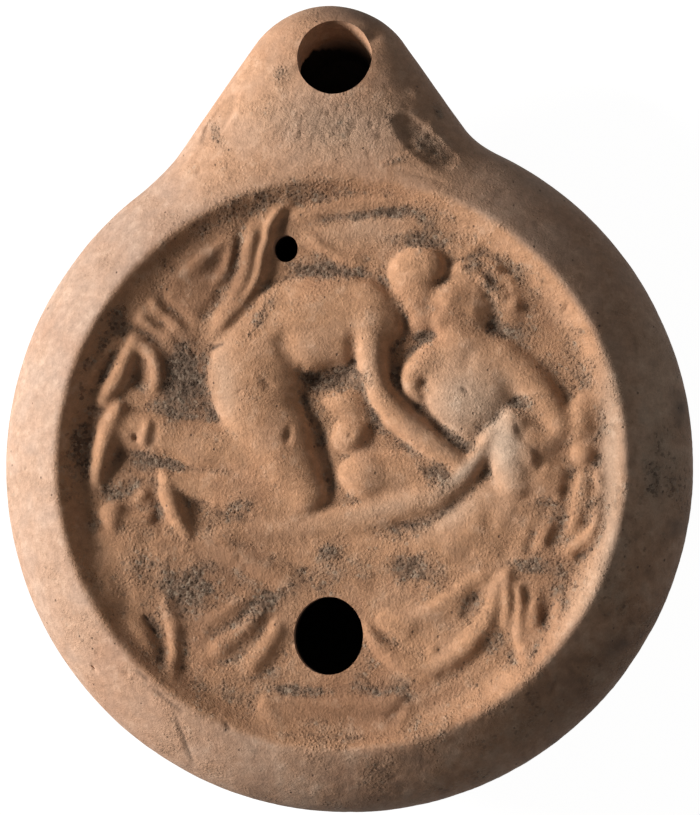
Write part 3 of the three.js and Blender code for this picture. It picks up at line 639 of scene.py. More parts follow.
def kneeler(f):
    """The kneeling figure: shin and foot, trunk, thigh, head and the arm that reaches down."""
    f.limb(
        (-4.2, -4.3, 2.1, 0.8), (-8, -0.9, 2.5, 1), (-12.4, 1.6, 2.6, 1.1), (-17.3, 2.5, 2.7, 1.1),
        (-22.2, 3, 2.4, 0.85), soft=0.6, power=0.6, wall=1.8,
    )
    f.limb((-22.3, 3.5, 2.4, 0.75), (-26.4, 4, 2.5, 0.8), soft=0.7, power=0.7, wall=1.4)
    f.limb(
        (-27, 6.6, 1.1, 0.9), (-28.1, 4.4, 1.5, 1.2), (-29, 1.6, 1.5, 1.25), (-29.5, -0.8, 1.1, 1),
        (-29.8, -2.3, 0.7, 0.5), soft=0.6, power=0.75, wall=1.4,
    )
    f.fold(0.5, 0.42, (-23.1, 5.8), (-23.6, 3.8), (-24.2, 1.6), left=0.45)
    f.fold(0.35, -0.2, (-22.4, 5.4), (-22.6, 3.4), (-23, 1.6))
    f.swell(-26.9, 0.9, 0.9, 1.7, -25, -0.25)
    # trunk
    f.limb(
        (-10.2, 11.2, 5.8, 1.6), (-7.6, 14.8, 5.9, 1.6), (-3.6, 17, 5.6, 1.65), (0.9, 17.6, 5.2, 1.7),
        (3, 17.6, 4.6, 1.65), soft=0.6, power=0.5, wall=2,
    )
    # hip and thigh
    f.limb(
        (-11, 10.2, 5.2, 1.75), (-9.4, 5.4, 5, 1.85), (-6.9, 0.8, 4, 1.75), (-4.4, -3.6, 2.5, 1.2),
        power=0.55, wall=2,
    )
    f.swells(
        (-11.2, 9.6, 3.4, 4.6, 15, 0.25), (-3.6, 18.6, 4.4, 2.4, 15, 0.22), (-2, 14, 2.6, 1.6, -10, 0.22),
    )
    # waist, the shadow under the trunk, and the hollow beside the knee
    f.fold(1.1, -0.5, (-7.4, 17), (-6.7, 14.4), (-5.8, 12.2), (-4.8, 10.8), left=1.3, ends=(0.3, 0.1))
    f.fold(0.9, -0.8, (-5.6, 11.2), (-3.4, 10.5), (-1, 10.4), (1.4, 10.8), ends=(0.15, 0.1))
    f.swell(-5.4, 8, 1.3, 1.8, 20, -0.2)
    f.fold(0.4, -0.4, (-4.4, 6.2), (-2.9, 4.8), (-2, 2.2), (-1.3, 0), (-1.2, -2.4), (-1.8, -4.6))
    # head: hair swept up over a face that looks down
    f.mound(9.4, 23.5, 3.1, 2.5, 10, 1.45, soft=0.7, power=0.6, wall=1.6)
    f.limb(
        (8.9, 22.4, 2.9, 1.35), (9.2, 20.2, 2.9, 1.35), (10, 17.8, 2.1, 1.15), soft=0.8, power=0.7,
        wall=1.5,
    )
    f.mound(11.2, 23.6, 1.5, 1.9, -6, 1.2, soft=1, power=0.7)
    f.fold(0.28, -0.16, (7.4, 23.4), (8.6, 24.6), (10.2, 25))
    f.fold(0.28, -0.16, (7.2, 22.2), (8.8, 23.4), (10.6, 23.7))
    f.fold(0.3, -0.14, (11.2, 25.2), (11.5, 23.8), (11.2, 22.2))
    f.swells(
        (8.8, 20.4, 0.8, 0.45, 10, -0.18), (8.7, 19, 0.5, 0.6, 0, 0.12),
        (9.6, 17.6, 0.7, 0.25, 10, -0.14),
    )
    f.fold(0.3, -0.12, (6.6, 21.6), (8, 21), (9.6, 21.2))
    # arm
    f.limb(
        (3.4, 19.2, 3, 1.7), (3.7, 15.6, 2.5, 1.9), (4, 12.2, 2.1, 1.9), (4.9, 8.8, 2.1, 1.85),
        (7.2, 5.4, 2.1, 1.7), (10.4, 2.8, 1.9, 1.5), (13.2, 1, 1.6, 1.2), (15.1, -0.4, 1, 0.8), soft=0.5,
        power=0.6, wall=2.4,
    )
    f.fold(0.6, -0.4, (1.9, 16.2), (1.5, 13.6), (1.6, 11.4))


# the patches of each mask: x, y, half length, half width, turn in degrees, amount
PATCHES = {
    "rough": (
        (-1, 41, 7.5, 3.6, 0, 0.7), (11.2, 38, 3, 1.6, -38, 0.9),
    ),
    "chalk": (
        (10.6, 38.7, 3.2, 1.4, -38, 0.3), (3.8, 12, 1.6, 5, 0, 0.15), (3, 28.5, 6, 2.2, 0, 0.2),
        (-1, 41, 8, 4, 0, 0.35), (38, 6, 3, 14, 0, 0.42), (32.6, 0, 1.6, 14, 0, 0.35),
        (15.2, 7.2, 4.4, 4.6, 0, 0.5), (20, 1.8, 2.1, 4.4, 8, 0.68), (14.7, -1.3, 3.4, 0.8, 42, 0.6),
        (-13.9, 10.1, 1.6, 4.4, 10, 0.3), (5.8, -5.3, 6, 1.2, 14, 0.25), (13.7, -6.1, 4, 1.4, 30, 0.3),
        (30.5, -14.6, 2, 8, -30, 0.3),
    ),
    # painted shade: patches darkened to brown where the relief lies in shade
    "painted_shade": (
        (9, 43, 4, 7, 20, 0.2), (-18.5, 21.5, 7.5, 5.5, 45, 0.65), (-26, -1, 5, 10, 0, 0.3),
        (-14, -18, 8, 5, 30, 0.3), (-12, -10, 7, 3, 0, 0.3), (0, -30, 14, 3.5, 0, 0.55),
        (-7, 1.5, 3, 6, 30, 0.15), (-18.9, 10.1, 3.2, 4.8, 10, 0.7), (-27, 29, 10, 6, 45, 0.12),
        (32.6, 2, 1.9, 17, 0, 0.5), (23, 17.5, 4, 5, 0, 0.35), (24.3, -17.5, 1.1, 3, 0, 0.35),
        (-12.5, 24.5, 4, 5.5, 20, 0.35), (26, -3, 3.5, 6, 0, 0.2), (-14, -15, 13, 9, 0, 0.2),
    ),
    "stain": (
        (0, 55, 8, 1.6, -4, 0.5), (28, -28, 9, 4, 45, 0.3), (-18.9, 10.1, 3, 4.6, 10, 0.3),
        (40.6, 6.6, 0.8, 1.5, 0, 0.6), (33, -22, 2.5, 1.2, 40, 0.4),
    ),
    "grit": (
        (-1, 41, 7, 3.2, 0, 0.08), (11.2, 38.2, 3, 1.3, -38, 0.25), (5.9, 41.2, 0.8, 1.4, 0, 0.4),
        (7, 36.4, 1.6, 0.6, 10, 0.5), (11.6, 42.6, 0.8, 1.6, 20, 0.4), (-7.5, 47.5, 1, 1.4, 0, 0.35),
        (18.2, 21.2, 3.2, 1.6, -40, 0.5), (-14, -15, 11, 8, 0, 0.12), (38, -1.5, 1.6, 4, 0, 0.5),
        (30.5, -5, 1.6, 3.4, 0, 0.4), (-1.3, -10.5, 1.3, 1, 0, 0.7), (-15.4, 40, 0.8, 2, 30, 0.5),
        (-19.3, -15.5, 3.2, 2, 20, 0.7), (-20.8, -12.6, 5, 2.5, 0, 0.3), (-1.1, 23.2, 4.5, 0.9, -4, 0.6),
        (-0.1, 10.3, 3.4, 1.4, 4, 0.9), (9.8, 26.9, 3.6, 1, 0, 0.5), (5.8, 30.1, 3.6, 0.6, 6, 0.7),
        (11.3, -1.3, 3.4, 1.3, -30, 0.6), (8.8, -13, 2.4, 2, 0, 0.6), (7.8, -8.4, 2.6, 0.9, 12, 0.5),
        (5.2, -27.2, 3, 1, 0, 0.6), (-5, -27.4, 2.6, 0.9, 0, 0.5), (-11.9, -5.1, 2.2, 2, 0, 0.5),
        (-18.9, 10.1, 2.8, 4.8, 10, 0.85), (-10, 17.4, 0.9, 3.6, -38, 0.6), (-27.7, 17, 3, 1.4, 50, 0.5),
        (25.2, -5.7, 2, 1.6, 0, 0.5), (22.6, -12.6, 2, 1.1, 0, 0.6), (26.4, -14.6, 1, 1.8, 0, 0.5),
        (18.7, -21.9, 0.8, 1.5, 0, 0.5), (-9, -16.9, 4.6, 1, 35, 0.5), (-8, -25.4, 2, 1, 0, 0.3),
        (16.3, 23.9, 2.4, 1, -30, 0.4), (18.7, 16.4, 1.2, 1.4, 0, 0.8), (21.6, 16, 1.8, 1.2, 0, 0.5),
        (22, 7, 1.5, 1.2, 0, 0.4), (9.8, 15.1, 1.2, 1.2, 0, 0.5), (14.3, 2.6, 3, 1, -30, 0.5),
        (-23.8, 0.6, 3, 1.4, 0, 0.5), (-31.7, 4.2, 1.2, 4, 0, 0.5), (-26.7, -3.1, 3.4, 1, 0, 0.5),
        (-10, 32.2, 5, 0.8, 18, 0.4),
    ),
}


def marks(f):
    """Damage and tooling over the whole top: flake scars, a tooled line, pits, pricks and crumbs."""
    # flake scars beside the nozzle, and the chipped edge of the wick hole
    f.scar(10.4, 38.6, 4.6, 1.9, -42, 0.42)
    f.scar(8.3, 40.6, 2, 1.3, -20, 0.2)
    f.scar(12.6, 36.9, 1.8, 1.5, -30, 0.12)
    f.fold(0.7, 0.26, (10.2, 41.2), (11.4, 39.6), (12.6, 38.4), (14, 37.2))
    f.fold(0.3, 0.14, (8.8, 39.3), (9.7, 38.6), (10.3, 37.4))
    for _ in range(SCAR_LUMPS):
        x, y = normal((10.8, 38.6), (1.9, 1.5))
        f.swell(x, y, 0.32, 0.26, uniform(0, 180), uniform(-0.16, 0.1))
    f.scar(-15, 42, 3.8, 1.3, 58, 0.45)
    f.swells(
        (9.2, 44.6, 1, 0.8, -40, 0.3), (10.8, 43.6, 0.8, 1.4, -20, -0.25),
        (3.9, 51.4, 0.9, 1.3, -20, -0.5), (-5.2, 47.6, 1.6, 0.9, 40, -0.2),
    )
    # a tooled line outside the crest, below the nozzle
    f.fold(0.3, -0.16, (-10.2, 34.6), (-5, 35.7), (1, 35.9), (6, 35.4), (11, 34), (15.2, 32.4))
    # pits
    f.swells(
        (-30.1, -24.7, 0.5, 0.22, -60, -0.5), (-29.3, -22.9, 0.25, 0.25, 0, -0.4),
        (-25.6, -25.4, 0.25, 0.25, 0, -0.3), (27.1, 18.2, 0.45, 0.22, 60, -0.5),
        (-17.2, 35.3, 0.35, 0.35, 0, -0.3), (-24.9, 3.1, 0.3, 0.3, 0, -0.5),
        (1, 3.4, 0.25, 0.25, 0, -0.3), (-6.1, 3.6, 0.35, 0.9, -10, -0.35),
        (-9, 9.8, 0.9, 0.4, -30, -0.25), (-12.3, 8.8, 0.3, 0.3, 0, -0.3),
    )
    # small pricks
    for _ in range(PRICKS):
        x, y = normal((-1.0, 41.0), (4.6, 2.0))
        f.swell(x, y, uniform(0.25, 0.42), 0.2, normal(125, 20), -uniform(0.06, 0.2))
    # crumbs of crust wherever grit has gathered
    for x, y, rx, ry, turn, amount in PATCHES["grit"]:
        c, s = math.cos(math.radians(turn)), math.sin(math.radians(turn))
        for _ in range(int(CRUMBS * rx * ry * amount)):
            along, across = normal(0, 0.6, 2) * (rx, ry)
            place = (x + along * c - across * s, y + along * s + across * c)
            f.swell(*place, uniform(0.25, 0.45), 0.24, uniform(0, 180), uniform(-0.16, 0.16))
    # pits in the shoulder
    for _ in range(SHOULDER_PITS):
        angle, radius = uniform(0, 2 * np.pi), uniform(35.5, 41)
        x, y = radius * math.cos(angle), radius * math.sin(angle)
        f.swell(x, y, uniform(0.25, 0.5), 0.25, math.degrees(angle) + 90, -uniform(0.05, 0.2))


def cracks(f):
    """The crack at the lower left, and scratches with dirt in them."""
    f.fold(0.2, -0.3, (-19.9, -29.4), (-19.5, -31.6), (-18.8, -33.8), (-18.1, -36.6), ends=(0.3, 0.2))
    f.fold(0.2, -0.3, (-24, -18), (-23.2, -19.2), (-22.3, -20.5))
    f.fold(0.2, -0.2, (-23.3, -18), (-22.6, -19), (-21.9, -19.9))
    f.fold(0.2, -0.2, (-24.4, -24.8), (-23.6, -25.5), (-22.9, -26.2))
    f.fold(0.2, -0.22, (-13.8, -31), (-13.3, -31.6), (-12.9, -32.1))
    f.fold(0.2, -0.25, (14.7, 9.1), (15.2, 8.6), (15.7, 8.2))
    f.fold(0.22, -0.12, (21, 5.4), (21.4, 4.3), (21.7, 3.3))
    f.fold(0.22, -0.14, (22.7, 2.6), (23.4, 1.4), (23.9, 0.6), (23.3, -0.2))
    f.fold(0.2, -0.3, (-15.9, 13.8), (-15, 14.2), (-13.9, 14.6))
    f.fold(0.22, -0.1, (26.3, -24.8), (25.8, -26.4), (25, -28))
    f.fold(0.2, -0.12, (35.4, 15.4), (35.5, 14), (35.7, 12.6))
    f.fold(0.22, -0.2, (-22.6, -26.8), (-21, -28.2), (-18.4, -30.2))


def warped(relief, field):
    """The field with its places shifted a little, so that no outline runs quite true."""
    shifts = []
    for reach, amount in WARPS:
        for _ in (0, 1):
            rough = blur(normal(size=field.shape), reach)
            shifts.append(amount * rough / rough.std())
    x = relief.x + shifts[0] + shifts[2]
    y = relief.y + shifts[1] + shifts[3]
    return relief.sample(field, x, y)


def layer(relief, carve):
    """The height that one carving adds to plain ground."""
    relief.z = np.zeros(relief.x.shape)
    carve(relief)
    return relief.z


def carve_relief():
    relief = Relief()
    radius = np.hypot(relief.x, relief.y)
    relief.ground = ground_at(radius)
    relief.z = relief.ground.copy()
    for carve in (bed, curtain, lower_legs, recliner, kneeler):
        carve(relief)
    raised = warped(relief, relief.z - relief.ground)
    plain = smoothstep(RELIEF_EDGE, CREST_RADIUS - PLAIN_RIM, radius)
    surface = relief.ground + blur(raised * (1 - plain), WEAR)
    relief.cracks = layer(relief, cracks)
    relief.marks = warped(relief, layer(relief, marks)) + relief.cracks
    relief.z = surface
    return relief


# ---- the clay body


def ring(corners, place, *step):
    """One closed ring of corners; place(angle, *step) gives the radius and height at each angle."""
    angle = 2 * np.pi * np.arange(corners) / corners
    radius, height = place(angle, *step)
    return np.column_stack([radius * np.cos(angle), radius * np.sin(angle), height + 0 * angle])


def circle(corners, radius, height):
    return ring(corners, lambda angle: (radius, height))


def stitch(upper, lower, first, second):
    """Triangles between two rings of `upper` and `lower` corners, numbered from first and second."""
    triangles = []
    i = j = 0
    while i < upper or j < lower:
        a, b = first + i % upper, second + j % lower
        if j >= lower or (i < upper and (i + 1) * lower <= (j + 1) * upper):
            i += 1
            triangles.append((a, b, first + i % upper))
        else:
            j += 1
            triangles.append((a, b, second + j % lower))
    return triangles


def fan(hub, start, count, outwards):
    around = [(start + i, start + (i + 1) % count) for i in range(count)]
    return [(hub, a, b) if outwards else (hub, b, a) for a, b in around]


def closed_body(name, top, rings, bottom):
    """A closed mesh from the middle of its top, round the outside, to the middle of its bottom."""
    corners = np.vstack([top] + rings + [bottom])
    starts = np.cumsum([1] + [len(points) for points in rings])
    triangles = fan(0, 1, len(rings[0]), True)
    for k in range(len(rings) - 1):
        triangles += stitch(len(rings[k]), len(rings[k + 1]), int(starts[k]), int(starts[k + 1]))
    triangles += fan(int(starts[-1]), int(starts[-2]), len(rings[-1]), False)
    mesh = bpy.data.meshes.new(name)
    mesh.from_pydata((corners * MM).tolist(), [], triangles)
    piece = bpy.data.objects.new(name, mesh)
    bpy.context.scene.collection.objects.link(piece)
    return piece


def outer_body(relief):
    def on_top(angle, radius, height):
        marks = relief.sample(relief.marks, radius * np.cos(angle), radius * np.sin(angle))
        return radius, height + marks - rolled_off(radius, angle)

    def disc(angle, k):
        radius = np.full(angle.shape, CREST_RADIUS * k / DISC_RINGS)
        height = relief.sample(relief.z, radius * np.cos(angle), radius * np.sin(angle))
        return on_top(angle, radius, height)

    def shoulder(angle, k):
        profile = shoulder_profile(edge_at(angle, 0), CREST_HEIGHT, KNEE_DROP, CHEEK)
        radius, height = on_curve(profile, k / SHOULDER_RINGS)
        return on_top(angle, radius, height) if k < SHOULDER_RINGS else (radius, height)

    def underside(angle, k):
        profile = underside_profile(edge_at(angle, 0), BASE_RADIUS, 0)
        return on_curve(profile, k / len(UNDERSIDE_CORNERS))

    rings = [ring(CORNERS_PER_RING * k, disc, k) for k in range(1, DISC_RINGS + 1)]
    rings += [ring(CORNERS_PER_RING * DISC_RINGS, shoulder, k) for k in range(1, SHOULDER_RINGS + 1)]
    rings += [ring(corners, underside, k) for k, corners in enumerate(UNDERSIDE_CORNERS, 1)]
    for step in np.linspace(-1, 1, GROOVE_RINGS):
        depth = GROOVE_DEPTH * math.cos(step * math.pi / 2) ** 2
        rings.append(circle(UNDERSIDE_CORNERS[-1], GROOVE_RADIUS - step * GROOVE_HALF_WIDTH, depth))
    rings += [circle(FLAT_CORNERS * k, FLAT_RADIUS * k / FLAT_RINGS, 0) for k in range(FLAT_RINGS, 0, -1)]
    middle = np.zeros(1)
    top = (0, 0, relief.sample(relief.z, middle, middle)[0])
    return closed_body("lamp_body", top, rings, (0, 0, 0))


def cavity():
    ceiling = CREST_HEIGHT - DISC_DROP - DISC_HOLLOW - WALL

    def roof(angle, k):
        profile = shoulder_profile(edge_at(angle, 1), CREST_HEIGHT - WALL, CAVITY_DROP, CAVITY_CHEEK)
        return on_curve(profile, k / CAVITY_RINGS)

    def floor(angle, k):
        profile = underside_profile(edge_at(angle, 1), BASE_RADIUS - WALL, WALL)
        return on_curve(profile, k / CAVITY_RINGS)

    rings = [circle(HUB_CORNERS, HUB_RADIUS, ceiling)]
    rings.append(circle(2 * HUB_CORNERS, DISC_RADIUS - WALL, ceiling + CEILING_RISE))
    rings += [ring(CAVITY_CORNERS, roof, k) for k in range(CAVITY_RINGS + 1)]
    rings += [ring(CAVITY_CORNERS, floor, k) for k in range(1, CAVITY_RINGS + 1)]
    rings.append(circle(HUB_CORNERS, HUB_RADIUS, WALL))
    return closed_body("cavity", (0, 0, ceiling), rings, (0, 0, WALL))


def hole_cutter(name, hole):
    """A slightly oval pin; its lean carries the foot back towards the body."""
    x, y, width, length, lean = hole
    angle = 2 * np.pi * np.arange(PIN_CORNERS) / PIN_CORNERS
    px = x + 0.5 * width * np.cos(angle)
    py = y + 0.5 * length * np.sin(angle)
    heights = np.linspace(*PIN_ENDS, PIN_RINGS)
    rings = [np.column_stack([px, py + slide(h, lean), np.full(PIN_CORNERS, h)]) for h in heights]
    top, foot = ((x, y + slide(h, lean), h) for h in PIN_ENDS)
    return closed_body(name, top, rings, foot)


def cut(piece, cutter):
    """Cuts one closed mesh from another and throws the cutter away."""
    step = piece.modifiers.new("cut", "BOOLEAN")
    step.operation = "DIFFERENCE"
    step.solver = "MANIFOLD"
    step.object = cutter
    whole = bpy.context.evaluated_depsgraph_get()
    mesh = bpy.data.meshes.new_from_object(piece.evaluated_get(whole))
    piece.modifiers.clear()
    piece.data = mesh
    bpy.data.objects.remove(cutter)


# ---- where the clay's look changes


def surface_masks(relief):
    """Grids over the lamp's top: where it is orange, chalky, gritty, stained or rough, where shade is
    painted on, and where the shoulder is painted paler as a sheen.
    """
    radius = np.hypot(relief.x, relief.y)
    whole = relief.z + relief.marks
    hollow = np.clip(blur(whole, 0.9) - blur(whole, 0.2), 0, 0.5)
    in_disc = smoothstep(CREST_RADIUS + PLAIN_RIM / 2, CREST_RADIUS - PLAIN_RIM, radius)
    on_shoulder = 1 - in_disc
    on_floor = smoothstep(0.25, 0.05, relief.z - relief.ground)
    inner_floor = on_floor * smoothstep(32, 30, radius)
    on_nozzle = smoothstep(27, 36, relief.y) * smoothstep(24, 12, np.abs(relief.x - NOZZLE_OFFSET))
    # the shoulder's side towards the key light, by the nozzle and the left, is clean and painted paler as
    # a painted sheen; the far side is dull, with dirt and painted shade
    lit_side = (relief.y - relief.x) / (math.sqrt(2) * BODY_RADIUS)
    far_side = smoothstep(0.1, -0.8, lit_side)
    clouds = [blur(normal(size=radius.shape), reach) for reach in (1.3, 0.35)]
    uneven = sum(cloud / cloud.std() for cloud in clouds)
    film = np.clip(0.12 * uneven - 0.03, 0, 0.6)
    bloom = np.clip(0.04 - 0.08 * uneven, 0, 0.3)
    masks = {
        # painted sheen: the orange share drops on the shoulder's side towards the key light, so that side
        # is paler
        "orange": mix(0.46 - 0.32 * np.minimum(lit_side, 0.7) + 0.5 * on_nozzle, 1.0, in_disc),
        "chalk": on_shoulder * far_side * bloom,
        # painted shade: the shoulder's far side from the key light is darkened, more towards the bottom
        "painted_shade": 0.28 * far_side * smoothstep(34, 40, radius) * smoothstep(8, -22, relief.y),
        "grit": mix(0.12 * far_side, 1.1 * hollow + 0.12 * on_floor, in_disc),
        "stain": on_shoulder * far_side * film + in_disc * np.clip(1.6 * hollow - 0.2, 0, 0.35),
        "rough": 0.25 + 0.3 * inner_floor + 0.1 * in_disc,
    }
    masks["stain"] += np.clip(-0.22 * relief.marks, 0, 0.2) - 2.2 * relief.cracks
    for name, patches in PATCHES.items():
        for x, y, rx, ry, turn, amount in patches:
            at, reach = relief.oval(x, y, rx, ry, turn)
            masks[name][at] += amount * np.exp(-(reach**2))
    return masks


SLACK = 0.5  # how far off the chamber's skin a corner still counts as on it
UPRIGHT = 0.6  # the most that the normal of an upright wall rises or falls
ON_PIN = 1.06  # reach of a hole's wall from its middle, in half widths, with some slack
STRAIGHT_FADE = (20.1, 19.3)  # heights between which a hole's wall is painted dark, as painted shade
LEANING_FADE = (17.0, 11.5)
PLAIN_CLAY = {"orange": 0.25, "rough": 0.25}  # masks of the clay below the seam and inside
SEAM_FADE = 5.0  # how far below the seam the masks reach
SEAM_SKIN = 2.5  # how far inside the outline the skin beside the seam lies
SHARP_ANGLE = math.radians(55)


def depth_inside(x, y, z, normals):
    """How deep within the lamp each corner is, and so how much painted shade darkens it: 0 on the outer
    skin, 1 well down a hole or beyond it.
    """
    nx, ny, nz = normals.T
    in_height = (z > WALL - SLACK) & (z < CREST_HEIGHT - WALL + CEILING_RISE)
    chamber = in_height & (outside(x, y) < SLACK - wall_at(y))
    ceiling = (nz < -0.2) & (z > SEAM_HEIGHT)
    facing_in = (nz > 0) | (nx * x + ny * y < 0)
    deep = np.where(chamber & (ceiling | facing_in & (z < SEAM_HEIGHT + 1)), 1.0, 0.0)
    for hole_x, hole_y, width, length, lean in HOLES.values():
        reach = np.hypot((x - hole_x) / (width / 2), (y - hole_y - slide(z, lean)) / (length / 2))
        on_wall = (np.abs(nz) < UPRIGHT) & (reach < ON_PIN) & (z > WALL + 1)
        fade = smoothstep(*(LEANING_FADE if lean else STRAIGHT_FADE), z)
        deep = np.where(on_wall, np.maximum(deep, fade), deep)
    return deep


def corners_of(mesh, what):
    """The places or the normals of a mesh's corners, a row for each."""
    values = np.empty(3 * len(mesh.vertices))
    mesh.vertices.foreach_get(what, values)
    return values.reshape(-1, 3)


def add_mask(mesh, name, values):
    mesh.attributes.new(name, "FLOAT", "POINT").data.foreach_set("value", np.clip(values, 0, 1))


def add_masks(mesh, masks, relief):
    """Puts each mask on the mesh's corners on top, and fades it to plain clay below the seam."""
    x, y, z = corners_of(mesh, "co").T / MM
    normals = corners_of(mesh, "normal")
    on_top = (z > SEAM_HEIGHT) & (normals[:, 2] > 0.1)
    by_seam = (outside(x, y) > -SEAM_SKIN) & (z < SEAM_HEIGHT + 2)
    share = np.where(on_top, 1.0, by_seam * smoothstep(SEAM_HEIGHT - SEAM_FADE, SEAM_HEIGHT, z))
    # painted shade: the inside mask darkens the chamber and the holes' walls
    add_mask(mesh, "inside", depth_inside(x, y, z, normals))
    for name, grid in masks.items():
        add_mask(mesh, name, mix(PLAIN_CLAY.get(name, 0.0), relief.sample(grid, x, y), share))


def roughen(mesh):
    """Presses the clay's unevenness into the mesh, along its normals."""
    places = corners_of(mesh, "co")
    grit = np.empty(len(places))
    mesh.attributes["grit"].data.foreach_get("value", grit)
    lumps = np.empty(places.shape)
    for i, place in enumerate((places / MM).tolist()):
        at = Vector(place)
        lumps[i] = [noise.noise(at / size) for size in LUMP_SIZES]
    lift = lumps @ LUMP_HEIGHTS + CRUST_HEIGHT * grit * lumps[:, 2]
    lift += GRAIN_HEIGHT * grit * uniform(-1, 1, len(grit))
    places += corners_of(mesh, "normal") * lift[:, None] * MM
    mesh.vertices.foreach_set("co", places.ravel())


def make_lamp(relief):
    lamp = outer_body(relief)
    cut(lamp, cavity())
    for name, hole in HOLES.items():
        cut(lamp, hole_cutter(name, hole))
    lamp.name = "clay_lamp"
    for polygon in lamp.data.polygons:
        polygon.use_smooth = True
    lamp.data.set_sharp_from_angle(angle=SHARP_ANGLE)
    add_masks(lamp.data, surface_masks(relief), relief)
    roughen(lamp.data)
    return lamp


# ---- materials


class Nodes:
    """Makes nodes in a material; an input given as a socket is linked, and any other is set."""

    def __init__(self, material):
        material.use_nodes = True
        self.tree = material.node_tree

    def add(self, kind, inputs, **settings):
        node = self.tree.nodes.new("ShaderNode" + kind)
        for name, value in settings.items():
            setattr(node, name, value)
        for name, value in inputs.items():
            if isinstance(value, bpy.types.NodeSocket):
                self.tree.links.new(value, node.inputs[name])
            else:
                node.inputs[name].default_value = value
        return node

    def noise(self, place, size, detail=3.0, roughness=0.55):
        """Cloudy noise whose largest lumps are about `size` millimetres."""
        settings = {"Vector": place, "Scale": 1 / (size * MM), "Detail": detail, "Roughness": roughness}
        return self.add("TexNoise", settings).outputs["Fac"]

    def times(self, a, b):
        return self.add("Math", {0: a, 1: b}, operation="MULTIPLY").outputs[0]

    def plus(self, a, b, clamp=False):
        return self.add("Math", {0: a, 1: b}, operation="ADD", use_clamp=clamp).outputs[0]

    def between(self, value, start, end, first=0.0, last=1.0):
        """Goes smoothly from first, where the value is start, to last, where it is end."""
        span = {"Value": value, "From Min": start, "From Max": end, "To Min": first, "To Max": last}
        return self.add("MapRange", span, interpolation_type="SMOOTHSTEP").outputs["Result"]

    def blend(self, share, first, second, mode="MIX"):
        node = self.add("Mix", {}, data_type="RGBA", blend_type=mode)
        for k, value in ((0, share), (6, first), (7, second)):
            if isinstance(value, bpy.types.NodeSocket):
                self.tree.links.new(value, node.inputs[k])
            else:
                node.inputs[k].default_value = value if k == 0 else (*value, 1)
        return node.outputs[2]

    def mask(self, name):
        return self.add("Attribute", {}, attribute_name=name).outputs["Fac"]

    def bump(self, height, distance, strength=1.0, after=None):
        inputs = {"Height": height, "Distance": distance * MM, "Strength": strength}
        if after is not None:
            inputs["Normal"] = after
        return self.add("Bump", inputs).outputs["Normal"]


BUFF = (0.52, 0.378, 0.298)
ORANGE = (0.63, 0.347, 0.197)
RUDDY = (0.42, 0.20, 0.11)
CHALK = (0.68, 0.54, 0.42)
FILM = (0.25, 0.178, 0.128)
GRAIN_DARK = (0.045, 0.029, 0.02)
GRAIN_PALE = (0.5, 0.39, 0.29)
SOOT = (0.09, 0.065, 0.05)
# painted shade: the brown that darkens the clay where shade is painted
SHADE_BROWN = (0.20, 0.10, 0.055)
UNLIT = (0.012, 0.009, 0.007)


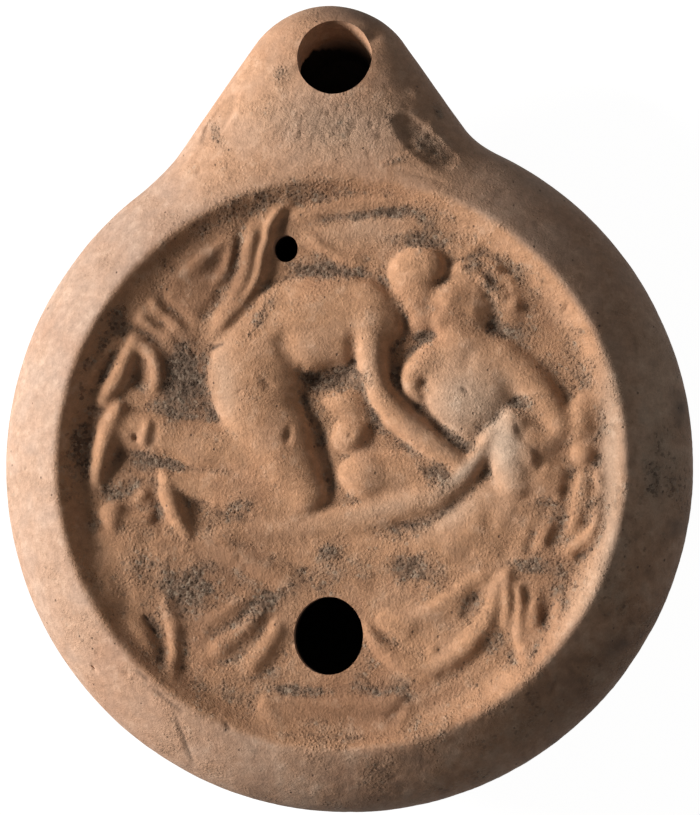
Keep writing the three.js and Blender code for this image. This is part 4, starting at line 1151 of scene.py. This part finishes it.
def clay_material():
    material = bpy.data.materials.new("fired_clay")
    make = Nodes(material)
    place = make.add("TexCoord", {}).outputs["Object"]
    shader = make.tree.nodes["Principled BSDF"]

    cloud = make.noise(place, 14, 3)
    blotch = make.noise(place, 5, 3)
    mottle = make.noise(place, 2.2, 5, 0.65)
    grain = make.noise(place, 1.1, 8, 0.75)
    sand = make.noise(place, 0.3, 4, 0.7)
    rough = make.mask("rough")

    # the fired colour: buff to orange shoulders, paler buff on the side towards the key light as a
    # painted sheen, a more orange disc, ruddier in patches
    orange = make.plus(make.mask("orange"), make.between(blotch, 0.3, 0.7, -0.13, 0.13), clamp=True)
    colour = make.blend(orange, BUFF, ORANGE)
    ruddy = make.times(make.between(cloud, 0.48, 0.7), 0.3)
    colour = make.blend(ruddy, colour, RUDDY)
    pinkish = make.between(make.noise(place, 2.6, 4, 0.6), 0.5, 0.68, 0.0, 0.35)
    colour = make.blend(make.times(pinkish, rough), colour, RUDDY)
    # painted shade: brown where the relief and the shoulder's far side lie in shade
    colour = make.blend(make.mask("painted_shade"), colour, SHADE_BROWN)
    chalk = make.plus(make.mask("chalk"), make.between(mottle, 0.5, 0.75, 0.0, 0.22), clamp=True)
    colour = make.blend(chalk, colour, CHALK)
    coarse = make.between(grain, 0.3, 0.7, 0.88, 1.1)
    speckle = make.plus(coarse, make.between(sand, 0.3, 0.7, -0.07, 0.06))
    shade = make.plus(speckle, make.between(mottle, 0.3, 0.7, -0.06, 0.06))
    shade_colour = make.add("CombineColor", {"Red": shade, "Green": shade, "Blue": shade}).outputs[0]
    colour = make.blend(1.0, colour, shade_colour, "MULTIPLY")

    # grey dirt in the hollows: a film, and grains that are pale or dark by their own number
    uneven = make.between(mottle, 0.35, 0.65, 0.45, 1.35)
    dirt = make.times(make.mask("grit"), uneven)
    dirt = make.plus(dirt, make.between(blotch, 0.4, 0.65, -0.1, 0.18), clamp=True)
    colour = make.blend(make.between(dirt, 0.05, 0.75, 0.0, 0.72), colour, FILM)
    grains = make.add("TexVoronoi", {"Vector": place, "Scale": 1 / (0.42 * MM)})
    number = make.add("SeparateColor", {"Color": grains.outputs["Color"]})
    there = make.between(make.plus(dirt, make.times(number.outputs[0], -1)), -0.05, 0.35)
    tone = make.blend(make.between(number.outputs[1], 0.45, 0.9), GRAIN_DARK, GRAIN_PALE)
    colour = make.blend(make.times(there, 0.5), colour, tone)
    colour = make.blend(make.mask("stain"), colour, SOOT)

    # scattered dark inclusions
    cells = make.add("TexVoronoi", {"Vector": place, "Scale": 1 / (1.5 * MM)})
    cell_number = make.add("SeparateColor", {"Color": cells.outputs["Color"]}).outputs[0]
    chosen = make.between(cell_number, 0.74, 0.76)
    dot = make.times(make.between(cells.outputs["Distance"], 0.13, 0.06), chosen)
    colour = make.blend(make.times(dot, 0.65), colour, SOOT)
    # painted shade: the lamp's inside and the walls down its holes go near black
    colour = make.blend(make.mask("inside"), colour, UNLIT)
    make.tree.links.new(colour, shader.inputs["Base Color"])

    fine = make.bump(make.times(grain, rough), 0.3)
    crumbly = make.plus(make.between(dirt, 0.05, 0.6), make.times(rough, 0.3), clamp=True)
    rounded = make.times(make.between(grains.outputs["Distance"], 0.6, 0.0), crumbly)
    crumbs = make.bump(rounded, 0.2, 1.0, fine)
    loose = make.plus(dirt, rough, clamp=True)
    powder = make.bump(make.times(sand, loose), 0.3, 1.0, crumbs)
    pinholes = make.bump(dot, -0.12, 0.8, powder)
    make.tree.links.new(pinholes, shader.inputs["Normal"])
    make.tree.links.new(make.between(mottle, 0.2, 0.8, 0.82, 0.95), shader.inputs["Roughness"])
    shader.inputs["Specular IOR Level"].default_value = 0.22
    return material


FLOOR_GREY = 0.16
FLOOR_GLOW = 0.97  # lifts the floor to near white without more light on the lamp


def floor_material():
    material = bpy.data.materials.new("pale_floor")
    material.use_nodes = True
    shader = material.node_tree.nodes["Principled BSDF"]
    shader.inputs["Base Color"].default_value = (FLOOR_GREY, FLOOR_GREY, FLOOR_GREY, 1)
    shader.inputs["Roughness"].default_value = 1.0
    shader.inputs["Specular IOR Level"].default_value = 0.0
    shader.inputs["Emission Color"].default_value = (1, 1, 1, 1)
    shader.inputs["Emission Strength"].default_value = FLOOR_GLOW
    return material


# ---- stage, light and camera, in metres

WARM_WHITE = (1.0, 0.96, 0.92)
CAMERA_DISTANCE = 0.65
VIEW_LEAN = (math.radians(7), math.radians(3))  # of the view from straight above: right and front
FIELD_HEIGHT = 0.0991  # what the picture takes in from top to bottom, at the lamp
SENSOR_HEIGHT = 24.0
VIEW_CENTRE = Vector((0.3, 7.1, SEAM_HEIGHT)) * MM


def add_floor(size, height):
    bpy.ops.mesh.primitive_plane_add(size=size, location=(0, 0, height))
    floor = bpy.context.object
    floor.name = "floor"
    floor.data.materials.append(floor_material())
    floor.visible_diffuse = False


def direction(azimuth, elevation):
    a, e = math.radians(azimuth), math.radians(elevation)
    return Vector((math.cos(a) * math.cos(e), math.sin(a) * math.cos(e), math.sin(e)))


def add_light(name, azimuth, elevation, distance, size, watts, colour):
    light = bpy.data.lights.new(name, "AREA")
    light.shape = "DISK"
    light.size = size
    light.energy = watts
    light.color = colour
    holder = bpy.data.objects.new(name, light)
    holder.location = direction(azimuth, elevation) * distance
    holder.rotation_euler = holder.location.to_track_quat("Z", "Y").to_euler()
    bpy.context.scene.collection.objects.link(holder)


def add_world(colour, strength):
    world = bpy.data.worlds.new("soft_room")
    world.use_nodes = True
    background = world.node_tree.nodes["Background"]
    background.inputs["Color"].default_value = (*colour, 1)
    background.inputs["Strength"].default_value = strength
    bpy.context.scene.world = world


def add_camera():
    lean_right, lean_front = VIEW_LEAN
    back = Vector((math.tan(lean_right), -math.tan(lean_front), 1)).normalized()
    right = Vector((0, 1, 0)).cross(back).normalized()
    camera = bpy.data.cameras.new("camera")
    camera.sensor_fit = "VERTICAL"
    camera.sensor_height = SENSOR_HEIGHT
    camera.lens = SENSOR_HEIGHT * CAMERA_DISTANCE / FIELD_HEIGHT
    camera.clip_start = 0.01
    holder = bpy.data.objects.new("camera", camera)
    holder.location = VIEW_CENTRE + back * CAMERA_DISTANCE
    holder.rotation_euler = Matrix((right, back.cross(right), back)).transposed().to_euler()
    bpy.context.scene.collection.objects.link(holder)
    bpy.context.scene.camera = holder


# ---- the scene

relief = carve_relief()
lamp = make_lamp(relief)
lamp.data.materials.clear()
lamp.data.materials.append(clay_material())
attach(lamp, "root")
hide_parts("lamp")

add_floor(size=6.0, height=-0.0001)
add_world(WARM_WHITE, strength=0.14)
add_light("key", azimuth=170, elevation=23, distance=1.0, size=0.34, watts=16.5, colour=WARM_WHITE)
add_camera()
bpy.context.scene.view_settings.view_transform = "Standard"
